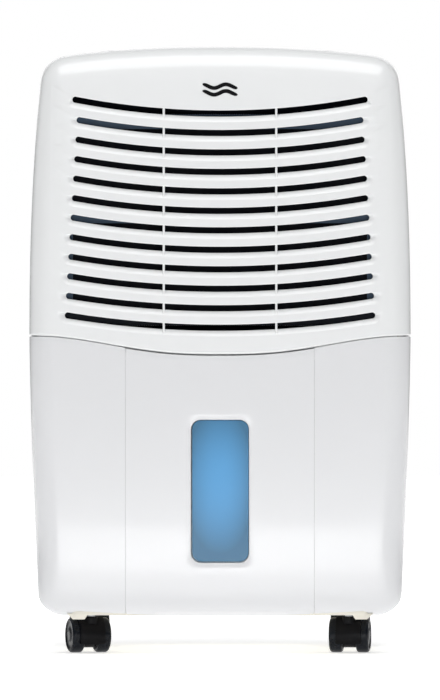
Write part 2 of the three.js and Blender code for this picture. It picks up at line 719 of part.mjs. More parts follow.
// A barrel round the axle, open behind and below, with a web between the wheels.
function casterHood() {
  const { trail, wheel } = CASTER;
  const { radius, wall, half, web } = HOOD;
  const hollow = rodX(radius - wall, -50, 50, trail, wheel, 24);
  const shell = rodX(radius, -half, half, trail, wheel, 24).subtract(hollow);
  const plate = rodX(13, -web, web, trail, wheel).add(box(-web, web, -7, trail + 4, 15, 36));
  const above = [[-40, 9], [trail, 9], [trail + 40, 9 + 40], [trail + 40, 60], [-40, 60]];
  const kept = alongX(polygon(above), -60, 60);
  const body = shell.intersect(kept).add(plate.intersect(rodX(radius - 1, -50, 50, trail, wheel, 24)));
  const crown = rodZ(6.5, 30, 37.5, 0, 0);
  return body.add(crown).subtract(rodZ(4.4, 24, 60, 0, 0)).subtract(rodX(3.3, -60, 60, trail, wheel, 16));
}

function casterAxle() {
  return rodX(3, -18.2, 18.2, CASTER.trail, CASTER.wheel, 16);
}

// One wheel, made about its own middle with a blind bore from the inner side.
function casterWheel(side) {
  const { wheel } = CASTER;
  const face = [[0, 20.5], [wheel - 2.5, 20.5], [wheel, 18]];
  const tread = [[wheel, 9.5], [wheel - 2.5, 7], [3.4, 7], [3.4, 18.7], [0, 18.7]];
  const points = [...face, ...tread].reverse().map(([radius, along]) => new THREE.Vector2(radius, along));
  const geometry = new THREE.LatheGeometry(points, 20).rotateZ(-Math.PI / 2);
  return side > 0 ? geometry : geometry.rotateZ(Math.PI);
}

// ---------------------------------------------------------------- assembly

function finish(color, roughness, metalness = 0) {
  return new THREE.MeshStandardMaterial({ color, roughness, metalness, flatShading: true });
}

const WHITE = finish(0xeff0f0, 0.28);
const CREAM = finish(0xe6e1d4, 0.5);
const INNER = finish(0xc9ccce, 0.6);
const SLATE = finish(0x5f6f86, 0.6);
const SMOKE = finish(0x24282c, 0.15);
const BLUE_WINDOW = finish(0x6aa7db, 0.2);
const CLEAR = finish(0xcfdde6, 0.25);
const BLACK = finish(0x17181a, 0.45);
const FINS = finish(0xb9bec2, 0.4, 0.9);
const COPPER = finish(0xb4693d, 0.35, 1);
const STEEL = finish(0x8d9194, 0.35, 1);
const BLACK_STEEL = finish(0x202224, 0.5, 0.4);
const GREEN_BOARD = finish(0x2c6b45, 0.6);
const ORANGE = finish(0xd06a2c, 0.5);

const dehumidifier = new THREE.Group();

function add(name, body, material, parent = dehumidifier) {
  const geometry = body.isBufferGeometry ? body : surface(body);
  const mesh = new THREE.Mesh(geometry, material);
  mesh.name = name;
  parent.add(mesh);
  return mesh;
}

add('front_cover', frontCover(), WHITE);
add('lower_housing', lowerHousing(), WHITE);
add('rear_cover', rearCover(), WHITE);
add('base_pan', basePan(), CREAM);
add('outlet_grille', outletGrille(), WHITE);
add('badge', badge(), SMOKE);
add('control_panel', controlPanel(), SMOKE);
add('display_lens', displayLens(), SMOKE);
add('control_board', box(-104, 104, -97, -61, 602, 604), GREEN_BOARD);
for (const [name, x] of Object.entries(BUTTONS)) {
  add(`${name}_button`, pushButton(x), INNER);
}

add('bucket_front', bucketFront(), WHITE);
add('window_lens', windowLens(), BLUE_WINDOW);
add('bucket_tub', bucketTub(), CLEAR);
add('bucket_handle', bucketHandle(), WHITE);
add('float_paddle', floatPaddle(), ORANGE);
add('float_sensor', floatSensor(), BLACK);

add('filter', filter(), SLATE);
add('evaporator', coil(-112, -74, -1), FINS);
add('condenser', coil(-66, -30, 1), FINS);
add('drip_tray', dripTray(), INNER);
add('fan_shroud', fanShroud(), INNER);
add('fan', fan(), BLACK);
add('fan_motor', fanMotor(), STEEL);
add('motor_bracket', motorBracket(), STEEL);

add('compressor', compressor(), BLACK_STEEL);
add('accumulator', accumulator(), COPPER);
add('suction_pipe', suctionPipe(), COPPER);
add('discharge_pipe', dischargePipe(), COPPER);
add('run_capacitor', runCapacitor(), STEEL);

add('drain_spout', drainSpout(), INNER);
add('drain_plug', drainPlug(), BLACK);
add('cord_gland', cordGland(), BLACK);

for (const [place, yaw] of Object.entries(CASTER_YAW)) {
  const caster = new THREE.Group();
  const front = place.startsWith('front');
  const x = (place.endsWith('left') ? -1 : 1) * (front ? CASTER.frontX : CASTER.rearX);
  const y = front ? -CASTER.y : CASTER.y;
  caster.position.set(x, y, 0);
  caster.rotation.z = THREE.MathUtils.degToRad(yaw);
  dehumidifier.add(caster);
  add(`${place}_stem`, casterStem(), STEEL, caster);
  add(`${place}_hood`, casterHood(), BLACK, caster);
  add(`${place}_axle`, casterAxle(), STEEL, caster);
  for (const [hand, side] of [['left', -1], ['right', 1]]) {
    const wheel = add(`${place}_${hand}_wheel`, casterWheel(side), BLACK, caster);
    wheel.position.set(0, CASTER.trail, CASTER.wheel);
  }
}

export default dehumidifier;
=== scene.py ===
"""A portable dehumidifier on casters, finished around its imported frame.

The shape functions work in millimetres in the frame's own axes: +Z is up and the front faces -Y.
build() turns their points into metres.
"""

import json
import math

import bmesh
import bpy
import numpy as np
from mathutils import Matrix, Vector


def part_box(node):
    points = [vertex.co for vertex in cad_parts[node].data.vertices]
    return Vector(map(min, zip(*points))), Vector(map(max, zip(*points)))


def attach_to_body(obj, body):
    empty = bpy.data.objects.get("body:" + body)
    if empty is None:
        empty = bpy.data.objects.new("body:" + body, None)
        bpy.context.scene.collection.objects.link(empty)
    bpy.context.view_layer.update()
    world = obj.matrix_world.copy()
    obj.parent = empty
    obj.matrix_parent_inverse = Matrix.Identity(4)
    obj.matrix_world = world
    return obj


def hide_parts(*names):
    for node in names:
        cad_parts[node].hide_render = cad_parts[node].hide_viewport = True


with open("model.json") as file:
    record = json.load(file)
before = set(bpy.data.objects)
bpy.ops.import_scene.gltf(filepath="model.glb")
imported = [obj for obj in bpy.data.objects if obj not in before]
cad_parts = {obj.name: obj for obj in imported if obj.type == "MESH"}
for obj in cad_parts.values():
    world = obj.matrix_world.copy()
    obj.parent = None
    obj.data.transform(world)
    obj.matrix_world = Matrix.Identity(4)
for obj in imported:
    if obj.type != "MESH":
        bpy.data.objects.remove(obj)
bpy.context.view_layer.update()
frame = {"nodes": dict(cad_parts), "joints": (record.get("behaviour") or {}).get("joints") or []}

MM = 0.001

# ------------------------------------------------------------------ driving sizes, millimetres

HALF_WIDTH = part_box("front_cover")[1][0] / MM
HALF_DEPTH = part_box("rear_cover")[1][1] / MM
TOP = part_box("front_cover")[1][2] / MM
BOTTOM = 40.0
WAIST = 326.0
TOP_DRAW, BOTTOM_DRAW, CROWN = 15.4, 10.5, 14.9
BOW, LEAN_UP, LEAN_DOWN, LEAN_BROW = 4.0, 4.0, 3.0, 6.0
BROW = 550.0  # above this the front leans back further
SEAM_MID, SEAM_RISE, SEAM_HALF, SEAM_POWER = 306.0, 19.0, 190.0, 1.4
SPLIT = -10.0
SEAM_GAP = 0.45

CORNER_X = 28.0  # how far a corner of the front view reaches across, the same at top and bottom
CORNER_TOP = 28.0
CORNER_POWER = 2.8  # above 2 an upper corner is squarer than a quarter circle
CORNER_BOTTOM = 22.0
ROUND_DEEP = 34.0  # how far back the front's rounded edge reaches
ROUND_SHALLOW = 9.0  # the same at the bottom edge
BACK_ROUND = 18.0

SLOTS, SLOT_PITCH, SLOT_TOP = 12, 19.84, 551.6
SLOT_HIGH = 3.15  # half of an opening's height
SLOT_HALF, SLOT_GROWTH, TOP_SLOT_HALF = 145.0, 1.2, 150.5
SMILE, SMILE_STEP = 14.7, 0.27  # how far a slot's ends rise at 150, less for each slot below
LIP_BELOW, LIP_ABOVE = 5.9, 0.9
LIP_DEPTH = 4.4
ROLL_POWER = 2.3  # above 2 the front's rounding starts more softly than a circle
BLOCK_HALF = 172.0
RIB_X, RIB_HALF = 57.3, 1.15

BAY_HALF = 96.28
FACE_HALF = 96.16
SIDE_SHARPNESS, SIDE_START = 5.0, 0.7  # a slight roll along the upright seams, see cheek_edge
FACE_BOTTOM = 39.0
WINDOW = dict(half=29.5, bottom=94.0, top=239.6, corner=10.0)
WALL = 2.4


# ------------------------------------------------------------------ body surface

def half_width(z):
    """Half the silhouette's width: widest at the waist, less by a power of the distance from it."""
    up = np.clip((z - WAIST) / (TOP - WAIST), 0, 1)
    down = np.clip((WAIST - z) / (WAIST - BOTTOM), 0, 1)
    return HALF_WIDTH - TOP_DRAW * up**2.27 - BOTTOM_DRAW * down**1.46


def crown(x):
    """Height of the top across the body: it falls by a power of the distance from the middle."""
    return TOP - CROWN * (np.abs(x) / HALF_WIDTH) ** 2.325


def seam(x):
    """Height of the front seam: a raised cosine from the middle out to the sides."""
    across = np.minimum(np.abs(x) / SEAM_HALF, 1)
    return SEAM_MID + SEAM_RISE * ((1 - np.cos(math.pi * across)) / 2) ** SEAM_POWER


def smooth(value, low, high):
    """0 below low, 1 above high, and a cubic ease between."""
    t = np.clip((value - low) / (high - low), 0, 1)
    return t * t * (3 - 2 * t)


def face_plane(x, z):
    """y of the front before its edges are rounded: bowed across, and leaning back by squares of
    the height above and below the seam, and once more above the brow."""
    up = np.maximum(z - SEAM_MID, 0) / (TOP - SEAM_MID)
    down = np.maximum(SEAM_MID - z, 0) / (SEAM_MID - BOTTOM)
    brow = np.maximum(z - BROW, 0) / (TOP - BROW)
    lean = LEAN_UP * up**2 + LEAN_DOWN * down**2 + LEAN_BROW * brow**2
    return -HALF_DEPTH + lean + BOW * (np.abs(x) / 160) ** 2


def round_depth(z):
    """How far back the rounded edge reaches: less near the bottom, by a cubic ease."""
    return ROUND_SHALLOW + (ROUND_DEEP - ROUND_SHALLOW) * smooth(z, BOTTOM, 135)


def face_y(x, z, bottom=BOTTOM):
    """y of the front with its edges: plane + depth * (1 - (1 - r^p)^(1/p)), where r runs from 0 to
    1 through the rounded band along the sides, the top and the bottom."""
    side = np.clip((np.abs(x) - half_width(z) + CORNER_X) / CORNER_X, 0, 1)
    top = np.clip((z - crown(x) + CORNER_TOP) / CORNER_TOP, 0, 1)
    low = np.clip((bottom + CORNER_BOTTOM - z) / CORNER_BOTTOM, 0, 1)
    upper = (side**CORNER_POWER + top**CORNER_POWER) ** (2 / CORNER_POWER)
    return face_plane(x, z) + round_depth(z) * roll(np.where(low > 0, side**2 + low**2, upper))


def roll(r2):
    """The rounding's profile over the square of r."""
    return 1 - (1 - np.minimum(r2, 1) ** (ROLL_POWER / 2)) ** (1 / ROLL_POWER)


def on_face(x, z, bottom=BOTTOM):
    """The point of the front over a place in its plane."""
    return np.stack([x, face_y(x, z, bottom), z], axis=-1)


# ------------------------------------------------------------------ meshes

def grid(points, start=0, closed=False):
    """Quads over a (rows, columns, 3) grid. A face looks along column direction x row direction."""
    rows, columns = points.shape[:2]
    index = start + np.arange(rows * columns).reshape(rows, columns)
    if closed:
        index = np.concatenate([index, index[:, :1]], axis=1)
    quads = np.stack([index[:-1, :-1], index[:-1, 1:], index[1:, 1:], index[1:, :-1]], axis=-1)
    return points.reshape(-1, 3), quads.reshape(-1, 4).tolist()


class Shape:
    """Collects grids and fans that become one mesh."""

    def __init__(self):
        self.points = []
        self.faces = []
        self.count = 0

    def add(self, points, closed=False, flip=False):
        points = points[::-1] if flip else points
        vertices, quads = grid(np.asarray(points, float), self.count, closed)
        self.points.append(vertices)
        self.faces += quads
        self.count += len(vertices)
        return self

    def cap(self, loop, flip=False):
        loop = np.asarray(loop, float)
        order = list(range(self.count, self.count + len(loop)))
        self.points.append(loop)
        self.faces.append(order[::-1] if flip else order)
        self.count += len(loop)
        return self

    def loft(self, sections):
        """Closed loops in a row, with both ends capped."""
        self.add(sections, closed=True)
        self.cap(sections[0], flip=True)
        self.cap(sections[-1])
        return self


def shape_mesh(name, shape, weld, dissolve=True, outward=True):
    """A Shape's mesh in metres, with points nearer than the weld merged."""
    mesh = bpy.data.meshes.new(name)
    mesh.from_pydata((np.concatenate(shape.points) * MM).tolist(), [], shape.faces)
    edit = bmesh.new()
    edit.from_mesh(mesh)
    bmesh.ops.remove_doubles(edit, verts=edit.verts, dist=weld)
    if dissolve:
        bmesh.ops.dissolve_degenerate(edit, edges=edit.edges, dist=1e-7)
    if outward:
        bmesh.ops.recalc_face_normals(edit, faces=edit.faces)
    edit.to_mesh(mesh)
    edit.free()
    return mesh


def link(name, data):
    item = bpy.data.objects.new(name, data)
    bpy.context.scene.collection.objects.link(item)
    return item


def attach(piece, body, replaces):
    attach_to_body(piece, body)
    if replaces:
        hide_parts(*replaces)


def build(name, shape, material, body, replaces=(), weld=0.02, outward=False):
    """One mesh piece from a Shape: doubles merged, faces turned outward if asked, on its body."""
    mesh = shape_mesh(name, shape, weld * MM, outward=outward)
    mesh.materials.append(material)
    piece = link(name, mesh)
    attach(piece, body, replaces)
    mesh.shade_smooth()
    return piece


def sink_edges(piece, distance, radius):
    """Rolls a piece's edges over: a point nearer to the edge than the radius moves in along its
    normal by r - sqrt(r^2 - (r - e)^2), where e is its distance from the edge."""
    mesh = piece.data
    count = len(mesh.vertices)
    place = np.empty(count * 3)
    mesh.vertices.foreach_get("co", place)
    normal = np.empty(count * 3, np.float32)
    mesh.vertex_normals.foreach_get("vector", normal)
    place = place.reshape(-1, 3)
    e = np.clip(distance(place / MM), 0, radius)
    depth = radius - np.sqrt(radius**2 - (radius - e) ** 2)
    place -= normal.reshape(-1, 3) * depth[:, None] * MM
    mesh.vertices.foreach_set("co", place.ravel())
    mesh.update()


def thicken(piece, wall):
    """Adds a wall behind the surface, measured in from it; a negative wall stands outside it."""
    solidify = piece.modifiers.new("wall", "SOLIDIFY")
    solidify.thickness = wall * MM
    solidify.offset = -1
    solidify.use_even_offset = False


def settle(piece, degrees=34):
    """Applies the piece's modifiers and keeps its edges crisp where they turn by more than this."""
    bpy.context.view_layer.update()
    evaluated = piece.evaluated_get(bpy.context.evaluated_depsgraph_get())
    mesh = bpy.data.meshes.new_from_object(evaluated)
    piece.modifiers.clear()
    piece.data = mesh
    mesh.shade_smooth()
    mesh.set_sharp_from_angle(angle=math.radians(degrees))
    return piece


def carve(piece, shape, operation="DIFFERENCE"):
    """Cuts a closed Shape out of a piece, or joins it on."""
    cutter = link("cutter", shape_mesh("cutter", shape, 1e-6, dissolve=False))
    modifier = piece.modifiers.new("carve", "BOOLEAN")
    modifier.operation = operation
    modifier.solver = "MANIFOLD"
    modifier.object = cutter
    settle(piece)
    bpy.data.objects.remove(cutter)


def softened(name, node, material, body, width=0.6, segments=2):
    """A copy of a CAD node with its loose triangles merged and its edges rounded."""
    mesh = frame["nodes"][node].data.copy()
    edit = bmesh.new()
    edit.from_mesh(mesh)
    bmesh.ops.remove_doubles(edit, verts=edit.verts, dist=2e-6)
    bmesh.ops.dissolve_limit(edit, angle_limit=math.radians(1), verts=edit.verts, edges=edit.edges)
    edit.to_mesh(mesh)
    edit.free()
    mesh.name = name
    mesh.materials.clear()
    mesh.materials.append(material)
    piece = link(name, mesh)
    bevel = piece.modifiers.new("soft edges", "BEVEL")
    bevel.width = width * MM
    bevel.segments = segments
    bevel.limit_method = "ANGLE"
    bevel.angle_limit = math.radians(40)
    bevel.use_clamp_overlap = True
    settle(piece)
    attach(piece, body, [node])
    return piece


# ------------------------------------------------------------------ outlines

def line(a, b, count):
    """Evenly spaced points from a to b."""
    t = np.linspace(0, 1, count)[:, None]
    return np.asarray(a, float) * (1 - t) + np.asarray(b, float) * t


def resample(path, count):
    """The polyline at evenly spaced lengths."""
    step = np.r_[0, np.cumsum(np.linalg.norm(np.diff(path, axis=0), axis=1))]
    at = np.linspace(0, step[-1], count)
    return np.stack([np.interp(at, step, path[:, k]) for k in range(path.shape[1])], axis=-1)


def rounded_rect(x0, x1, y0, y1, radius, per_corner=8):
    """Anticlockwise from the lower left corner's end: four quarter circles joined by straights."""
    corners = [(x1 - radius, y0 + radius, -90), (x1 - radius, y1 - radius, 0),
               (x0 + radius, y1 - radius, 90), (x0 + radius, y0 + radius, 180)]
    out = []
    for cx, cy, start in corners:
        angle = np.radians(np.linspace(start, start + 90, per_corner + 1))
        out.append(np.stack([cx + radius * np.cos(angle), cy + radius * np.sin(angle)], axis=-1))
    return np.concatenate(out)


def four_sides(loop, counts):
    """A closed rounded rectangle cut at the middle of its corners, bottom side first, with each side
    resampled, so that it can be joined to a plain rectangle."""
    n = len(loop)
    quarter = n // 4
    rolled = np.roll(loop, -(n - quarter // 2 - 1), axis=0)
    sides = []
    for k, count in enumerate(counts):
        part = rolled[np.arange(k * quarter, (k + 1) * quarter + 1) % n]
        sides.append(resample(part, count)[:-1])
    return np.concatenate(sides)


def prism(outline, low, high, plane="xz"):
    """A closed Shape that carries an outline along the third axis."""
    shape = Shape()
    sections = []
    for level in (low, high):
        flat = np.full(len(outline), level)
        order = {"xz": (0, None, 1), "xy": (0, 1, None), "yz": (None, 0, 1)}[plane]
        sections.append(np.stack([flat if k is None else outline[:, k] for k in order], axis=-1))
    return shape.loft(np.array(sections))


def box_shape(x0, x1, y0, y1, z0, z1):
    """A plain box, used only as a cutter."""
    return prism(np.array([(x0, y0), (x1, y0), (x1, y1), (x0, y1)], float), z0, z1, "xy")


# ------------------------------------------------------------------ shader groups and materials

def new_group(name, inputs, outputs):
    group = bpy.data.node_groups.new(name, "ShaderNodeTree")
    for label, kind, value in inputs:
        socket = group.interface.new_socket(name=label, in_out="INPUT", socket_type=kind)
        socket.default_value = value
    for label, kind in outputs:
        group.interface.new_socket(name=label, in_out="OUTPUT", socket_type=kind)
    return group, group.nodes.new("NodeGroupInput"), group.nodes.new("NodeGroupOutput")


def wire(tree, source, target):
    tree.links.new(source, target)


def noise(tree, vector, scale, detail=3.0, rough=0.5):
    node = tree.nodes.new("ShaderNodeTexNoise")
    node.inputs["Scale"].default_value = scale
    node.inputs["Detail"].default_value = detail
    node.inputs["Roughness"].default_value = rough
    wire(tree, vector, node.inputs["Vector"])
    return node.outputs["Fac"]


def remap(tree, value, low, high, to_low, to_high):
    node = tree.nodes.new("ShaderNodeMapRange")
    for label, number in (("From Min", low), ("From Max", high), ("To Min", to_low), ("To Max", to_high)):
        node.inputs[label].default_value = number
    wire(tree, value, node.inputs["Value"])
    return node.outputs["Result"]


def math_node(tree, operation, a, b=0.0):
    node = tree.nodes.new("ShaderNodeMath")
    node.operation = operation
    for socket, value in zip(node.inputs, (a, b)):
        if isinstance(value, (int, float)):
            socket.default_value = value
        else:
            wire(tree, value, socket)
    return node.outputs[0]


def mix_colour(tree, factor, a, b):
    node = tree.nodes.new("ShaderNodeMix")
    node.data_type = "RGBA"
    for socket, value in ((node.inputs[0], factor), (node.inputs[6], a), (node.inputs[7], b)):
        if isinstance(value, (int, float)):
            socket.default_value = value
        elif isinstance(value, tuple):
            socket.default_value = (*value, 1)
        else:
            wire(tree, value, socket)
    return node.outputs[2]


def times(tree, a, b):
    return math_node(tree, "MULTIPLY", a, b)


def plus(tree, a, b):
    return math_node(tree, "ADD", a, b)


def minus(tree, a, b):
    return math_node(tree, "SUBTRACT", a, b)


def magnitude(tree, a):
    return math_node(tree, "ABSOLUTE", a)


def object_place(tree):
    return tree.nodes.new("ShaderNodeTexCoord").outputs["Object"]


def part(tree, vector, axis):
    parts = tree.nodes.new("ShaderNodeSeparateXYZ")
    wire(tree, vector, parts.inputs[0])
    return parts.outputs[axis]


def moulding_group():
    """Moulded plastic: a colour that drifts slightly over the part, a gloss that varies with
    handling, and a fine spark-eroded grain for bump."""
    group, entry, exit_ = new_group(
        "moulded plastic",
        [("Colour", "NodeSocketColor", (0.8, 0.8, 0.8, 1)), ("Drift", "NodeSocketFloat", 0.03),
         ("Gloss", "NodeSocketFloat", 0.3), ("Gloss Drift", "NodeSocketFloat", 0.06)],
        [("Colour", "NodeSocketColor"), ("Roughness", "NodeSocketFloat"), ("Grain", "NodeSocketFloat")],
    )
    place = object_place(group)
    broad = noise(group, place, 5.0, 2.0)
    smears = noise(group, place, 38.0, 4.0, 0.6)
    grain = noise(group, place, 2600.0, 2.0, 0.6)
    shade = times(group, minus(group, broad, 0.5), entry.outputs["Drift"])
    hue = group.nodes.new("ShaderNodeHueSaturation")
    wire(group, entry.outputs["Colour"], hue.inputs["Color"])
    wire(group, plus(group, shade, 1.0), hue.inputs["Value"])
    wire(group, hue.outputs["Color"], exit_.inputs["Colour"])
    drift = times(group, minus(group, smears, 0.5), entry.outputs["Gloss Drift"])
    wire(group, plus(group, entry.outputs["Gloss"], drift), exit_.inputs["Roughness"])
    wire(group, grain, exit_.inputs["Grain"])
    return group


def dust_group():
    """Dust and scuffing: more on faces that look up and low down near the floor, broken by noise."""
    group, entry, exit_ = new_group(
        "dust",
        [("Amount", "NodeSocketFloat", 0.3), ("Floor Height", "NodeSocketFloat", 0.05)],
        [("Mask", "NodeSocketFloat")],
    )
    place = object_place(group)
    normal = group.nodes.new("ShaderNodeNewGeometry").outputs["Normal"]
    up = math_node(group, "MAXIMUM", part(group, normal, "Z"), 0.0)
    height = math_node(group, "DIVIDE", part(group, place, "Z"), entry.outputs["Floor Height"])
    low = minus(group, 1.0, height)
    spread = math_node(group, "MAXIMUM", up, math_node(group, "MAXIMUM", low, 0.0))
    specks = remap(group, noise(group, place, 900.0, 3.0, 0.7), 0.45, 0.75, 0.0, 1.0)
    mask = times(group, times(group, spread, specks), entry.outputs["Amount"])
    wire(group, mask, exit_.inputs["Mask"])
    return group


MOULDING = moulding_group()
DUST = dust_group()


def shader(name):
    material = bpy.data.materials.new(name)
    material.use_nodes = True
    tree = material.node_tree
    return material, tree, tree.nodes["Principled BSDF"]


def colour_and_gloss(tree, surface, colour, roughness):
    wire(tree, colour, surface.inputs["Base Color"])
    wire(tree, roughness, surface.inputs["Roughness"])


def place_group(tree, group, **values):
    node = tree.nodes.new("ShaderNodeGroup")
    node.node_tree = group
    for label, value in values.items():
        node.inputs[label.replace("_", " ")].default_value = value
    return node


def bump(tree, surface, height, strength, distance):
    node = tree.nodes.new("ShaderNodeBump")
    node.inputs["Strength"].default_value = strength
    node.inputs["Distance"].default_value = distance
    wire(tree, height, node.inputs["Height"])
    wire(tree, node.outputs["Normal"], surface.inputs["Normal"])


def moulded(tree, colour, drift, gloss, gloss_drift):
    return place_group(tree, MOULDING, Colour=(*colour, 1), Drift=drift, Gloss=gloss, Gloss_Drift=gloss_drift)


def plastic(name, colour, gloss, drift=0.03, gloss_drift=0.05, grain=0.15, coat=0.0, dust=0.0, specular=0.5):
    """Moulded plastic in one colour, with dust over it if asked."""
    material, tree, surface = shader(name)
    skin = moulded(tree, colour, drift, gloss, gloss_drift)
    tone = skin.outputs["Colour"]
    if dust:
        dusty = place_group(tree, DUST, Amount=dust, Floor_Height=0.05)
        tone = mix_colour(tree, dusty.outputs["Mask"], tone, (0.55, 0.53, 0.5))
    colour_and_gloss(tree, surface, tone, skin.outputs["Roughness"])
    bump(tree, surface, skin.outputs["Grain"], grain, 0.00004)
    surface.inputs["Coat Weight"].default_value = coat
    surface.inputs["Coat Roughness"].default_value = 0.06
    surface.inputs["Specular IOR Level"].default_value = specular
    return material


def metal(name, colour, rough, scale=(60, 60, 900), dirt=0.1):
    """Drawn or brushed metal: noise stretched along one axis drives roughness and a faint bump."""
    material, tree, surface = shader(name)
    place = object_place(tree)
    mapping = tree.nodes.new("ShaderNodeMapping")
    mapping.inputs["Scale"].default_value = scale
    wire(tree, place, mapping.inputs["Vector"])
    streaks = noise(tree, mapping.outputs["Vector"], 1.0, 4.0, 0.6)
    blotches = noise(tree, place, 30.0, 3.0)
    dirty = remap(tree, blotches, 0.3, 0.7, 0.0, dirt)
    tone = mix_colour(tree, dirty, colour, tuple(c * 0.5 for c in colour))
    colour_and_gloss(tree, surface, tone, remap(tree, streaks, 0.3, 0.7, rough * 0.8, rough * 1.25))
    surface.inputs["Metallic"].default_value = 1.0
    bump(tree, surface, streaks, 0.2, 0.00003)
    return material


def window_material():
    """Tinted translucent window, with painted light in the middle and painted shade that deepens towards
    its edges and its foot. The depth of that shade is 0.7 * |x / half width|^2.2 + 1.3 * |height from the
    middle / half height|^2."""
    material, tree, surface = shader("tinted window")
    place = object_place(tree)
    x = math_node(tree, "DIVIDE", part(tree, place, "X"), GLOW_HALF_WIDTH)
    z = math_node(tree, "DIVIDE", minus(tree, part(tree, place, "Z"), GLOW_MIDDLE), GLOW_HALF_HEIGHT)
    across = math_node(tree, "POWER", magnitude(tree, x), 2.2)
    upward = math_node(tree, "POWER", magnitude(tree, z), 2.0)
    depth = plus(tree, times(tree, across, 0.7), times(tree, upward, 1.3))
    edge = math_node(tree, "MINIMUM", depth, 1.0)
    cloud = noise(tree, place, 22.0, 2.0)
    shade = plus(tree, edge, times(tree, minus(tree, cloud, 0.5), 0.06))
    # painted light to painted shade: light blue in the middle, deep blue towards the rim and foot
    tone = mix_colour(tree, shade, (0.102, 0.345, 0.65), (0.056, 0.168, 0.292))
    colour_and_gloss(tree, surface, tone, remap(tree, cloud, 0.0, 1.0, 0.2, 0.28))
    surface.inputs["Specular IOR Level"].default_value = 0.3
    return material


def tub_material():
    """Milky translucent polypropylene."""
    material, tree, surface = shader("milky tub")
    skin = moulded(tree, (0.62, 0.76, 0.86), 0.05, 0.3, 0.1)
    colour_and_gloss(tree, surface, skin.outputs["Colour"], skin.outputs["Roughness"])
    bump(tree, surface, skin.outputs["Grain"], 0.1, 0.00005)
    surface.inputs["Transmission Weight"].default_value = 0.35
    surface.inputs["IOR"].default_value = 1.4
    return material


def filter_material():
    """Filter: slate bars standing proud of a nearly black woven mesh, told apart by their depth. Below
    a height the bars are painted nearly black as well, as painted shade."""
    material, tree, surface = shader("filter frame and mesh")
    place = object_place(tree)
    behind = math_node(tree, "GREATER_THAN", part(tree, place, "Y"), FILTER_STEP * MM)
    weave = tree.nodes.new("ShaderNodeTexChecker")
    weave.inputs["Scale"].default_value = 900.0
    wire(tree, place, weave.inputs["Vector"])
    thread = mix_colour(tree, weave.outputs["Fac"], (0.0015, 0.002, 0.004), (0.004, 0.006, 0.012))
    tone = noise(tree, place, 14.0, 3.0)
    shade = remap(tree, tone, 0.3, 0.7, 0.0, 1.0)
    bars = mix_colour(tree, shade, (0.050, 0.075, 0.11), (0.070, 0.10, 0.145))
    # painted shade: below this height the bars turn nearly black
    low = math_node(tree, "LESS_THAN", part(tree, place, "Z"), SHADED_BARS_BELOW * MM)
    bars = mix_colour(tree, low, bars, (0.005, 0.007, 0.012))
    rough = remap(tree, tone, 0.3, 0.7, 0.5, 0.65)
    colour_and_gloss(tree, surface, mix_colour(tree, behind, bars, thread), rough)
    surface.inputs["Specular IOR Level"].default_value = 0.15
    bump(tree, surface, weave.outputs["Fac"], 0.3, 0.0002)
    return material


def fins_material():
    """Coil: thin upright fins as a fine wave across X, with painted shade between them, and copper at the
    ends.
    """
    material, tree, surface = shader("coil fins")
    x = part(tree, object_place(tree), "X")
    wave = math_node(tree, "SINE", times(tree, x, 2 * math.pi / (FIN_PITCH * MM)))
    fin_or_shaded_gap = remap(tree, wave, -0.2, 0.6, 0.0, 1.0)
    ends = math_node(tree, "GREATER_THAN", magnitude(tree, x), FINNED_HALF * MM)
    # the dark colour is painted shade in the gaps between the fins
    fins = mix_colour(tree, fin_or_shaded_gap, (0.09, 0.095, 0.10), (0.62, 0.64, 0.66))
    tone = mix_colour(tree, ends, fins, (0.62, 0.30, 0.16))
    colour_and_gloss(tree, surface, tone, remap(tree, fin_or_shaded_gap, 0.0, 1.0, 0.6, 0.32))
    surface.inputs["Metallic"].default_value = 0.9
    bump(tree, surface, fin_or_shaded_gap, 0.5, 0.0004)
    return material


def board_material():
    """Circuit board: green mask with fine tracks drawn by a voronoi's cell edges."""
    material, tree, surface = shader("circuit board")
    cells = tree.nodes.new("ShaderNodeTexVoronoi")
    cells.feature = "DISTANCE_TO_EDGE"
    cells.inputs["Scale"].default_value = 220.0
    wire(tree, object_place(tree), cells.inputs["Vector"])
    tracks = remap(tree, cells.outputs["Distance"], 0.02, 0.06, 1.0, 0.0)
    tone = mix_colour(tree, tracks, (0.012, 0.075, 0.035), (0.03, 0.16, 0.07))
    colour_and_gloss(tree, surface, tone, remap(tree, tracks, 0.0, 1.0, 0.3, 0.45))
    bump(tree, surface, tracks, 0.2, 0.0001)
    return material


FILTER_STEP = -124.0  # the bars stand in front of this, the mesh lies behind it
SHADED_BARS_BELOW = 360.0  # the bars below this are painted nearly black: painted shade
FIN_PITCH, FINNED_HALF = 1.8, 152.5
# in metres, where the window's painted light is brightest, and the distances its painted shade deepens over
GLOW_MIDDLE, GLOW_HALF_WIDTH, GLOW_HALF_HEIGHT = 0.176, 0.03, 0.083

WHITE = plastic("white gloss plastic", (0.80, 0.81, 0.815), 0.22, drift=0.02, grain=0.05, coat=0.25)
# the white plastic again, darker and a little bluer: painted shade for the mouldings below the seam
SHADED_WHITE = plastic("white plastic with painted shade", (0.725, 0.730, 0.745), 0.22, drift=0.02, grain=0.05, coat=0.25)
CREAM = plastic("cream base plastic", (0.78, 0.75, 0.66), 0.45, drift=0.06, grain=0.2, dust=0.15)
GREY = plastic("grey moulding", (0.52, 0.54, 0.56), 0.45, drift=0.06, grain=0.2)
BUTTON = plastic("button plastic", (0.60, 0.62, 0.64), 0.35, drift=0.04, grain=0.25)
SMOKE = plastic("smoked gloss", (0.012, 0.013, 0.016), 0.12, drift=0.1, grain=0.02, coat=0.6)
NYLON = dict(drift=0.3, gloss_drift=0.15, grain=0.3, dust=0.008)
BLACK = plastic("black nylon", (0.004, 0.004, 0.005), 0.34, specular=0.1, **NYLON)
